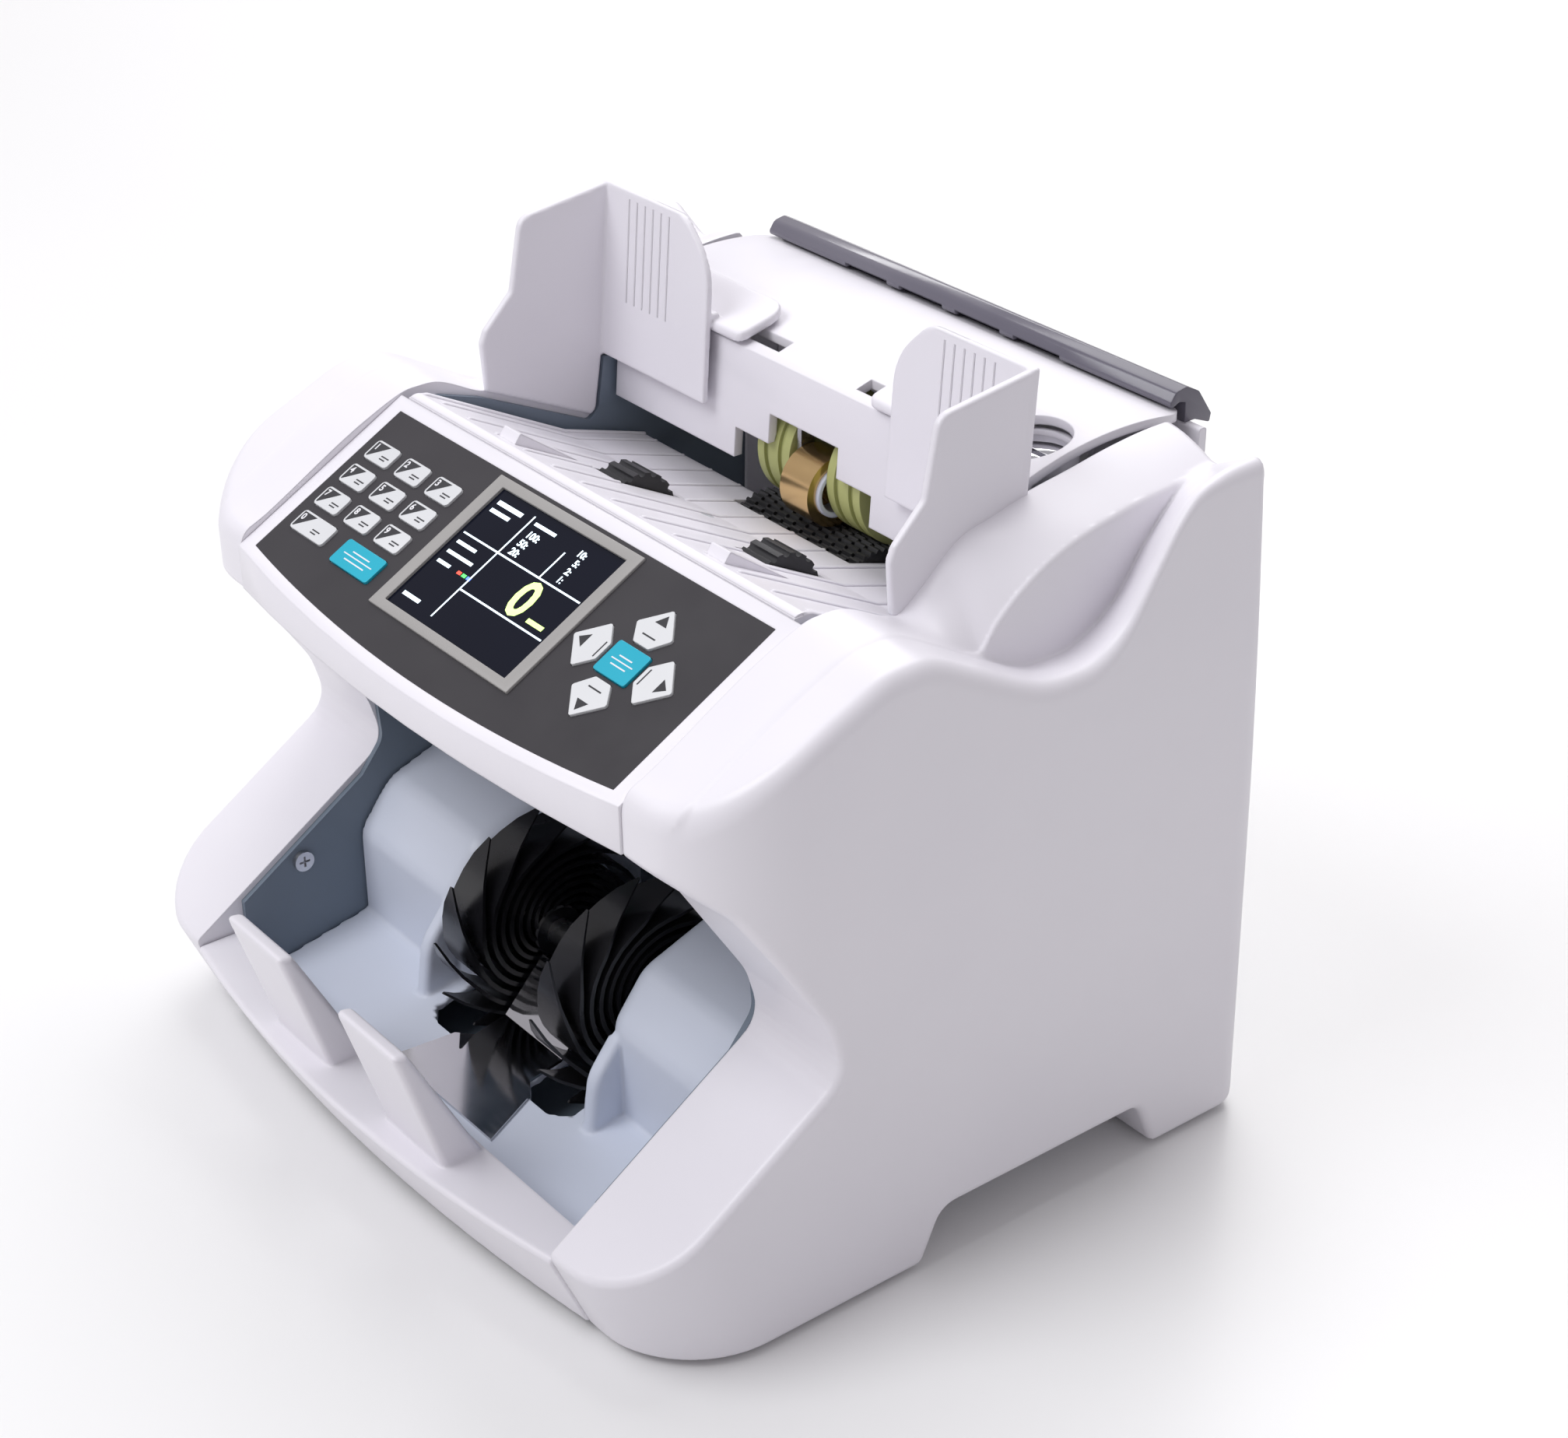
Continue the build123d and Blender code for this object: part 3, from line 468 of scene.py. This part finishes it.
def hood_field(x, y, z):
    """Roof behind and above the wheels."""
    line = softened([(-98, 152), (-92, 142, 10), (-50, 128, 10), (-8, 108, 8), (-4, 89)])
    band = line + [(y - 2.4, z + 1.2) for y, z in line[::-1]]
    return rounded_and(0.6, polygon(band, y, z), np.abs(x) - PLATE_X)


def stacker_moulding():
    body = net("stacker_moulding", housing_field, (-104, -124, 8), (104, 4, 94), (1.5, 1.5, 1.5), INNER)
    net("stacker_hood", hood_field, (-104, -102, 86), (104, 0, 156), (8.0, 1.0, 1.0), INNER)
    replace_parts(body, "stacker_housing")


stacker_moulding()


# ---------------------------------------------------------------- stacker wheels
BLADES, BLADE_PHASE, BLADE_SWEEP = 13, 9.5, 205.0
BLADE_HALF, WHEEL_MID = 10.0, 27.6


def blade_strip(turn, x_mid):
    """One thin spiral blade that tapers to a point at its tip."""
    rings = []
    steps = 22
    for k in range(steps + 1):
        share = 1 - k / steps
        angle = math.radians(turn) - math.radians(BLADE_SWEEP * share)
        reach = 37.4 - 28.2 * share ** 0.9
        reach += 4.0 * max(0, 1 - share / 0.15) ** 1.3
        centre = Vector((0, -reach * math.cos(angle), reach * math.sin(angle)))
        outward = Vector((0, -math.cos(angle), math.sin(angle)))
        half = BLADE_HALF * min(1.0, (share / 0.2) ** 0.75 + 0.04)
        thick = 0.45 + 0.35 * min(1, share * 4)
        ring = [(x_mid - half, 1), (x_mid + half, 1), (x_mid + half, -1), (x_mid - half, -1)]
        rings.append([(x, *(centre + outward * (side * thick))[1:]) for x, side in ring])
    points, faces = swept(rings)
    return points + (0, *WHEEL_CENTRE), faces


def stacker_wheels():
    black = moulded("wheel_rubber", (0.008, 0.008, 0.010), (0.014, 0.014, 0.016), 0.24, 1500)
    parts = []
    hub = [(-10, 4.5), (10, 4.5), (10, 8.4), (9.4, 9), (-9.4, 9), (-10, 8.4)]
    for x_mid in (-WHEEL_MID, WHEEL_MID):
        parts += [blade_strip(BLADE_PHASE + 360 / BLADES * k, x_mid) for k in range(BLADES)]
        parts.append(lathe([(x_mid + x, radius) for x, radius in hub], WHEEL_CENTRE, 40))
    piece = mesh_piece("wheel_blades", *together(*parts), black, "stacker", "black_rubber")
    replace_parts(piece, "stacker_wheels")


stacker_wheels()


# ---------------------------------------------------------------- note guides
GUIDE = softened([(-13, 198.5, 1), (-14, 215.5, 3), (-12.2, 219.8, 2), (-1.2, 230.6, 3), (3.8, 254.8, 6),
                  (41, 259.6), (35.4, 199.8), (32.9, 199.8), (29.6, 181, 2), (27.6, 179.2, 1.5)])
BACK = softened([(46, 198), (107, 198), (107, 259.8), (60.5, 259.6, 12), (46.2, 246, 22)])


TAB = softened([(32, 37.8, 4), (76, 37.8), (76, 58.6), (32, 58.6, 9)])


def back_face(z):
    return 32.7 + (z - 200.3) * 0.09


def guide_field(x, y, z):
    side = rounded_and(1.1, polygon(GUIDE, y, z), 103.0 - x, x - 106.0)
    back = rounded_and(0.8, polygon(BACK, x, z), back_face(z) - y, y - back_face(z) - 2.4, x - 106.0,
                       200.3 - z, z - 259.6)
    top = 224.2 + (y - 38.6) * 0.235
    tab = rounded_and(1.2, top - z, z - top - 3.6, polygon(TAB, x, y))
    leg = rounded_and(0.5, 40.0 - x, x - 46.0, 44.6 - y, y - 49.4, 213.0 - z, z - 226.0)
    link = rounded_and(0.5, 46.4 - x, x - 76.0, 36.4 - y, y - 41.0, 226.0 - z, z - 230.0)
    return rounded_or(0.6, side, back, tab, leg, link)


def note_guide(side, mirror):
    body = f"note_guide_{side}"
    piece = net(f"guide_{side}", guide_field, (31, -15.5, 178), (107.5, 60, 261.5), (0.9, 0.9, 1.1), WHITE,
                body, mirror=mirror)
    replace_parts(piece, body)
    sign = -1 if mirror else 1
    lines = []
    for x in (68, 72.4, 76.8, 81.2, 85.6, 90):
        path = [(sign * x, back_face(z) + 0.02, z) for z in (222, 240, 257)]
        lines.append(bar(path, 0.9, 0.14, (0, -1, 0.09)))
    mesh_piece(f"guide_lines_{side}", *together(*lines), WHITE, body)


note_guide("right", False)
note_guide("left", True)


# ---------------------------------------------------------------- hopper tray
RIB_PITCH, RIB_START = 15.8, 2.5


def tray_surface(y):
    return np.interp(y, [-44, -39, 14, 47], [206, 206, 178, 167.8])


def tray_ribs():
    """Fine raised lines down the tray that carry the notes' edge to the rollers."""
    bars = []
    for k in range(-6, 7):
        x = RIB_START + RIB_PITCH * k
        runs = [(-37.5, 46.0)]
        if abs(x) < 30.3:
            runs = [(-37.5, 31.5)]
        if 28.5 < abs(x) < 46:
            runs = [(-37.5, -12.5), (12.5, 46.0 if abs(x) > 30.3 else 31.5)]
        for first, last in runs:
            stops = [first, first + 1.2] + [y for y in (-20, 0, 14) if first + 2 < y < last - 2] + [last]
            path = [(x, y, float(tray_surface(y)) - (0.5 if y == first else 0.08)) for y in stops]
            bars.append(bar(path, 2.0, 0.75, (0, 0.467, 0.884)))
    mesh_piece("tray_ribs", *together(*bars), WHITE)


def tray_rim():
    """Raised band along the tray's front edge and its two side edges."""
    front = bar([(x, -41.4, 205.9) for x in (-100.6, -50, 0, 50, 100.6)], 4.6, 0.9, (0, 0, 1))
    sides = []
    for x in (-99.9, 99.9):
        sides.append(bar([(x, y, float(tray_surface(y)) - 0.1) for y in (-41, -38, 14, 46.5)], 2.2, 1.0,
                         (0, 0.467, 0.884)))
    mesh_piece("tray_rim", *together(front, *sides), WHITE)


tray_ribs()
tray_rim()


# ---------------------------------------------------------------- rollers in the hopper
def knurled_roller():
    """Feed roller of short toothed bands, each turned against the last."""
    bands, half, points = 12, 29.8, 144
    parts = []
    for band in range(bands):
        x0 = -half + band * 2 * half / bands
        rings = []
        for x in (x0 + 0.15, x0 + 4.8):
            ring = []
            for k in range(points):
                angle = 2 * math.pi * (k + (band % 2) * 2) / points
                radius = FEED_RADIUS if k % 4 < 2 else FEED_RADIUS - 1.1
                ring.append((x, FEED_CENTRE[0] + radius * math.cos(angle),
                             FEED_CENTRE[1] + radius * math.sin(angle)))
            rings.append(ring)
        parts.append(swept(rings))
    core = [(-29.6, 4.0), (29.6, 4.0), (29.6, 14.8), (-29.6, 14.8)]
    parts.append(lathe(core, FEED_CENTRE))
    rubber = moulded("knurled_rubber", (0.012, 0.012, 0.013), (0.022, 0.022, 0.024), 0.55, 4000, 0.0001)
    piece = mesh_piece("feed_roller_knurl", *together(*parts), rubber, "feed", "black_rubber")
    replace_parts(piece, "feed_roller")


def sensing_hub():
    ring = [(2.2, 6.6), (2.2, 8.5), (8.9, 8.5), (9.3, 8.1), (9.3, 7.0), (8.9, 6.6)]
    mesh_piece("sensing_hub", *lathe(ring, SENSING_CENTRE), INNER, "sensing", "inner_white")


knurled_roller()
sensing_hub()


# ---------------------------------------------------------------- front lip with its two note stops
STOP = softened([(-139.5, 31), (-125.2, 31), (-148.6, 77.5, 2.5), (-154, 78.5, 2.5)])


def lip_field(x, y, z):
    share = np.clip((z - 3.5) / 29.0, 0, 1.2)
    front = (-127.5 - 12.3 * share) - (7.0 + 3.0 * share) * (1 - (x / 104.8) ** 2)
    outer = rounded_and(2.2, (front - y) * 0.9, z - 32.5)
    across = np.abs(x)
    outer = rounded_and(0.5, outer, y + 124.5, 3.5 - z, across - 104.8)
    inner = rounded_and(1.0, (front + 2.6 - y), z - 30.0, y + 126.5, across - PLATE_X)
    shell = np.maximum(outer, -np.maximum(inner, 1 - z))
    stop = rounded_and(2.0, polygon(STOP, y, z), 16.5 - across, across - 50.0)
    return rounded_or(0.8, shell, stop)


lip = net("front_lip_form", lip_field, (-106, -156, 2), (106, -122, 80), (1.4, 0.9, 1.2), WHITE)
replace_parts(lip, "front_lip")


# ---------------------------------------------------------------- cooling louvres on the rear door
def louvres():
    """Two banks of raised hoods; their place comes from the door itself."""
    door = NODES["rear_door"]
    corners = np.array([door.matrix_world @ Vector(c) for c in door.bound_box])
    low, high = corners.min(0) / MM, corners.max(0) / MM
    face = high[1] - SHIFT
    bars = []
    for side in (-1, 1):
        for k in range(7):
            z = low[2] + 34 + 8 * k
            path = [(side * x, face - 0.2, z) for x in (22, 23.5, 50, 76.5, 78)]
            bars.append(bar(path, 4.4, 1.5, (0, 1, 0)))
    mesh_piece("door_louvres", *together(*bars), WHITE, "rear_door")


louvres()


# ---------------------------------------------------------------- edges eased on flat-sided parts
def eased(node, width, segments=2, angle=40):
    """A copy of a CAD part with its sharp edges rounded, which takes the part's place."""
    source = NODES[node]
    mesh = source.data.copy()
    mesh.name = node + "_eased"
    bm = bmesh.new()
    bm.from_mesh(mesh)
    bmesh.ops.remove_doubles(bm, verts=bm.verts, dist=0.00002)
    bmesh.ops.dissolve_limit(bm, angle_limit=math.radians(1.0), verts=bm.verts, edges=bm.edges)
    edges = [e for e in bm.edges if len(e.link_faces) == 2 and e.calc_face_angle(0) > math.radians(angle)]
    bmesh.ops.bevel(bm, geom=edges, offset=width * MM, offset_type="OFFSET", segments=segments, profile=0.5,
                    clamp_overlap=True, affect="EDGES")
    for face in bm.faces:
        face.smooth = True
    bm.to_mesh(mesh)
    bm.free()
    mesh.set_sharp_from_angle(angle=math.radians(30))
    piece = bpy.data.objects.new(node + "_eased", mesh)
    bpy.context.scene.collection.objects.link(piece)
    part = next(p for p in frame["record"]["subparts"] if p["node"] == node)
    body = next(b for b, nodes in frame["record"]["behaviour"]["bodies"].items() if node in nodes)
    mesh.materials.clear()
    mesh.materials.append(FINISH[part["material_slot"]])
    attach(piece, body)
    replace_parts(piece, node)
    return piece


# ---------------------------------------------------------------- every CAD part gets its finish
FINISH = {
    "white_plastic": WHITE,
    "inner_white": INNER,
    "slate_plate": SLATE,
    "label_film": moulded("label_film", (0.030, 0.028, 0.032), (0.040, 0.037, 0.042), 0.36, 4000),
    "bezel_grey": moulded("bezel_film", (0.36, 0.35, 0.34), (0.30, 0.29, 0.28), 0.45, 4000),
    "screen": moulded("screen_glass", (0.004, 0.005, 0.012), (0.006, 0.008, 0.018), 0.12, 50),
    "key_white": moulded("key_white", (0.72, 0.73, 0.74), (0.62, 0.63, 0.65), 0.38, edge=0.0005),
    "key_teal": moulded("key_teal", (0.012, 0.42, 0.56), (0.01, 0.36, 0.50), 0.35, edge=0.0005),
    "black_rubber": moulded("black_rubber", (0.012, 0.012, 0.014), (0.020, 0.020, 0.023), 0.45, 3000,
                            edge=0.0004),
    "foot_rubber": moulded("foot_rubber", (0.03, 0.03, 0.03), (0.04, 0.04, 0.04), 0.8),
    "green_rubber": moulded("green_rubber", (0.42, 0.44, 0.17), (0.34, 0.36, 0.14), 0.45, 3000, 0.0002,
                            edge=0.0005),
    "steel": moulded("ground_steel", (0.62, 0.62, 0.63), (0.55, 0.55, 0.57), 0.28, 2000, 0.00001, 1.0),
    "polished": moulded("polished_steel", (0.66, 0.66, 0.68), (0.60, 0.60, 0.63), 0.06, 300, 0.000002, 1.0),
    "brass": moulded("brass", (0.72, 0.50, 0.24), (0.66, 0.44, 0.2), 0.22, 500, 0.00001, 1.0),
    "black_plastic": moulded("black_nylon", (0.02, 0.02, 0.022), (0.03, 0.03, 0.032), 0.45),
    "belt": moulded("belt_rubber", (0.03, 0.03, 0.03), (0.04, 0.04, 0.04), 0.6),
    "board": moulded("circuit_board", (0.015, 0.14, 0.06), (0.012, 0.11, 0.05), 0.4),
    "smoked": moulded("smoked_plastic", (0.115, 0.108, 0.140), (0.155, 0.148, 0.18), 0.14, edge=0.0006),
    "clear": moulded("clear_window", (0.55, 0.6, 0.62), (0.5, 0.55, 0.58), 0.08, 100),
    "motor": moulded("motor_can", (0.17, 0.17, 0.18), (0.13, 0.13, 0.14), 0.35, 2000, 0.00001, 1.0),
}
FINISH["screen"].node_tree.nodes["Principled BSDF"].inputs["Specular IOR Level"].default_value = 0.18
for part in frame["record"]["subparts"]:
    node = NODES[part["node"]]
    node.data.materials.clear()
    node.data.materials.append(FINISH[part["material_slot"]])


for eased_part, width in (("front_panel", 0.9), ("top_cover", 0.8), ("display_bezel", 0.3), ("gap_knob", 0.5),
                          ("power_inlet", 0.5), ("grip_rail", 0.6)):
    eased(eased_part, width)


# ---------------------------------------------------------------- panel markings
def on_slope(u, v, w):
    """Point on the control panel: u to the right, v up the slope, w out of it."""
    return (u, -48.8 + 0.88 * v - 0.475 * w, 203.42 + 0.475 * v + 0.88 * w)


def flat_mark(outlines, w, thick=0.12):
    """Thin printed shapes on the panel."""
    parts = []
    for outline in outlines:
        parts.append(swept([[on_slope(u, v, w + rise) for u, v in outline] for rise in (0, thick)]))
    return together(*parts)


def rect(u0, v0, u1, v1):
    return [(u0, v0), (u1, v0), (u1, v1), (u0, v1)]


def digits(text, u, v, size, w, bold=0.03):
    """Points and faces of a short number laid on the panel."""
    curve = bpy.data.curves.new("number", "FONT")
    curve.body, curve.size, curve.extrude = text, size, 0.03
    curve.resolution_u, curve.offset = 3, bold * size
    holder = bpy.data.objects.new("number", curve)
    mesh = bpy.data.meshes.new_from_object(holder)
    points = []
    for vertex in mesh.vertices:
        a, b, c = vertex.co
        points.append(on_slope(u + a, v + b, w + c + 0.03))
    faces = [tuple(f.vertices) for f in mesh.polygons]
    bpy.data.objects.remove(holder)
    bpy.data.curves.remove(curve)
    bpy.data.meshes.remove(mesh)
    return np.array(points), faces


def glowing(name, colour, power=1.0):
    mat, tree, shader = material(name)
    level = mapped(tree, noise_node(tree, 900, 1), 0.3, 0.7, 0.85, 1.0)
    shader.inputs["Base Color"].default_value = (*colour, 1)
    shader.inputs["Emission Color"].default_value = (*colour, 1)
    strength = tree.nodes.new("ShaderNodeMath")
    strength.operation = "MULTIPLY"
    strength.inputs[1].default_value = power
    tree.links.new(level, strength.inputs[0])
    tree.links.new(strength.outputs[0], shader.inputs["Emission Strength"])
    return mat


INK = moulded("key_ink", (0.02, 0.02, 0.024), (0.035, 0.035, 0.04), 0.5)
PRINT = moulded("key_print", (0.8, 0.8, 0.82), (0.75, 0.75, 0.78), 0.5)
TOP = 0.7
COLUMNS, ROWS = (-87.1, -69.1, -51.1), (-16.1, -27.1, -38.0)


def key_marks():
    for index in range(10):
        if index:
            u, v, wide = COLUMNS[(index - 1) % 3], ROWS[(index - 1) // 3], 13.3
        else:
            u, v, wide = -83.5, -48.8, 19.4
        left, top = u - wide / 2 + 0.7, v + 3.2
        name = f"key_{index}"
        corner = [(left, top), (left, top - 6.0), (left + 0.4, top - 6.2), (left + 7.2, top)]
        mesh_piece(f"{name}_corner", *flat_mark([corner], TOP, 0.05), INK, name, "black_plastic", False)
        mesh_piece(f"{name}_digit", *digits(str(index), left + 0.6, top - 2.9, 3.4, TOP + 0.06), PRINT, name,
                   "key_white", False)
        word = [rect(u + 0.6, v - 2.0, u + 3.6, v - 1.55), rect(u + 0.6, v - 0.9, u + 4.8, v - 0.45)]
        mesh_piece(f"{name}_mark", *flat_mark(word, TOP, 0.05), INK, name, "black_plastic", False)
    for name, u, v, wide in (("key_set", -55.0, -49.9, 8.0), ("key_start", 64.5, -32.3, 5.0)):
        marks = [rect(u - wide, v - 0.2, u + wide, v + 0.2),
                 rect(u - wide * 0.6, v + 1.4, u + wide * 0.6, v + 1.85),
                 rect(u - wide * 0.7, v - 1.95, u + wide * 0.7, v - 1.5)]
        mesh_piece(f"{name}_mark", *flat_mark(marks, TOP, 0.05), PRINT, name, "key_white", False)


def arrow_marks():
    centre = (64.5, -32.3)
    keys = (("key_mode", 0, 19.2), ("key_batch", 180, 19.2), ("key_currency", 90, 21.2),
            ("key_print", -90, 21.2))
    for name, turn, reach in keys:
        a = math.radians(turn)

        def place(u, v):
            return (centre[0] + u * math.cos(a) - v * math.sin(a),
                    centre[1] + u * math.sin(a) + v * math.cos(a))

        arrow = [place(0, reach), place(-2.6, reach - 3.6), place(2.6, reach - 3.6)]
        word = [place(-3.0, 10.6), place(3.0, 10.6), place(3.0, 11.1), place(-3.0, 11.1)]
        mesh_piece(f"{name}_arrow", *flat_mark([arrow, word], TOP, 0.05), INK, name, "black_plastic", False)


def screen_graphics():
    """Generic counting page: ruled boxes, denominations, short bars and a large total."""
    cu, cv, w = 1.0, -30.0, -0.18
    white = glowing("screen_white", (0.75, 0.9, 1.0), 1.3)
    lime = glowing("screen_lime", (0.62, 0.95, 0.25), 1.6)
    left, right, top, bottom = cu - 31, cu + 31, cv + 23.5, cv - 23.5
    rules = [rect(left, cv + 6.2, right, cv + 6.8), rect(cu - 12.6, bottom + 2, cu - 12.0, top - 1),
             rect(cu - 12.0, cv - 9.8, right, cv - 9.2), rect(cu + 9.4, cv + 6.8, cu + 10.0, top - 6)]
    bars = [rect(left + 1, cv + 2.4 - 4.2 * k, left + 1 + 3.4 * n, cv + 3.6 - 4.2 * k)
            for k, n in enumerate((3, 4, 2))]
    bars += [rect(cu - 10, top - 3.6, cu + 1, top - 2.4), rect(left + 1, bottom + 3, left + 10, bottom + 4.4),
             rect(left + 1, top - 3.8, left + 14, top - 2.2), rect(left + 1, top - 7.0, left + 11, top - 5.6)]
    parts = [flat_mark(rules + bars, w, 0.04)]
    for k, value in enumerate(("100:", "50:", "20:")):
        parts.append(digits(value, cu - 9, top - 8.2 - 3.6 * k, 3.6, w))
    for k, value in enumerate(("10:", "5:", "2:", "1:")):
        parts.append(digits(value, cu + 14 + (0 if k == 0 else 2), top - 5.0 - 3.4 * k, 3.4, w))
    mesh_piece("screen_page", *together(*parts), white, slot="screen", smooth=False)
    total = together(digits("0", cu + 7.5, cv - 7.8, 18.5, w, 0.022),
                     flat_mark([rect(cu + 20, cv - 7.2, cu + 28, cv - 5.6)], w, 0.04))
    mesh_piece("screen_total", *total, lime, slot="screen", smooth=False)
    tints = (("red", (0.9, 0.08, 0.05)), ("green", (0.1, 0.8, 0.15)), ("blue", (0.12, 0.25, 1.0)))
    for k, (tint, colour) in enumerate(tints):
        start = left + 12.0 + 2.6 * k
        mesh_piece(f"screen_{tint}", *flat_mark([rect(start, cv - 6.0, start + 2.0, cv - 4.8)], w, 0.04),
                   glowing(f"screen_{tint}", colour, 1.2), slot="screen", smooth=False)


key_marks()
arrow_marks()
screen_graphics()


# ---------------------------------------------------------------- floor and light
def floor():
    mesh = bpy.data.meshes.new("floor")
    size = 6.0
    corners = [(-size, -size, 0), (size, -size, 0), (size, size, 0), (-size, size, 0)]
    mesh.from_pydata(corners, [], [(0, 1, 2, 3)])
    plane = bpy.data.objects.new("floor", mesh)
    bpy.context.scene.collection.objects.link(plane)
    mat, tree, shader = material("floor_board")
    cloud = mapped(tree, noise_node(tree, 2, 1), 0.3, 0.7, 0.0, 1.0)
    tree.links.new(mixed(tree, cloud, (0.85, 0.85, 0.845), (0.84, 0.84, 0.835)), shader.inputs["Base Color"])
    shader.inputs["Roughness"].default_value = 0.3
    mesh.materials.append(mat)


def area_light(name, place, aim, size, power, colour=(1, 1, 1)):
    data = bpy.data.lights.new(name, "AREA")
    data.shape, data.size, data.energy, data.color = "DISK", size, power, colour
    lamp = bpy.data.objects.new(name, data)
    lamp.location = place
    lamp.rotation_euler = (Vector(aim) - Vector(place)).to_track_quat("-Z", "Y").to_euler()
    bpy.context.scene.collection.objects.link(lamp)


def studio():
    """Soft light from behind and above, so that the near side stays in gentle shade."""
    scene = bpy.context.scene
    scene.view_settings.view_transform = "Standard"
    world = bpy.data.worlds.new("studio")
    scene.world = world
    world.use_nodes = True
    world.node_tree.nodes["Background"].inputs["Color"].default_value = (0.985, 0.955, 1.0, 1)
    world.node_tree.nodes["Background"].inputs["Strength"].default_value = 0.50
    area_light("top_light", (-0.55, 0.85, 2.1), (0, 0, 0.1), 1.8, 22, (1.0, 1.0, 1.0))
    area_light("front_fill", (-0.4, -1.25, 1.85), (0, 0, 0.1), 1.4, 24, (0.97, 0.98, 1.0))
    area_light("backdrop_light", (-1.9, 2.0, 1.6), (-1.9, 2.6, 0), 2.0, 45, (1.0, 1.0, 1.0))


floor()
studio()
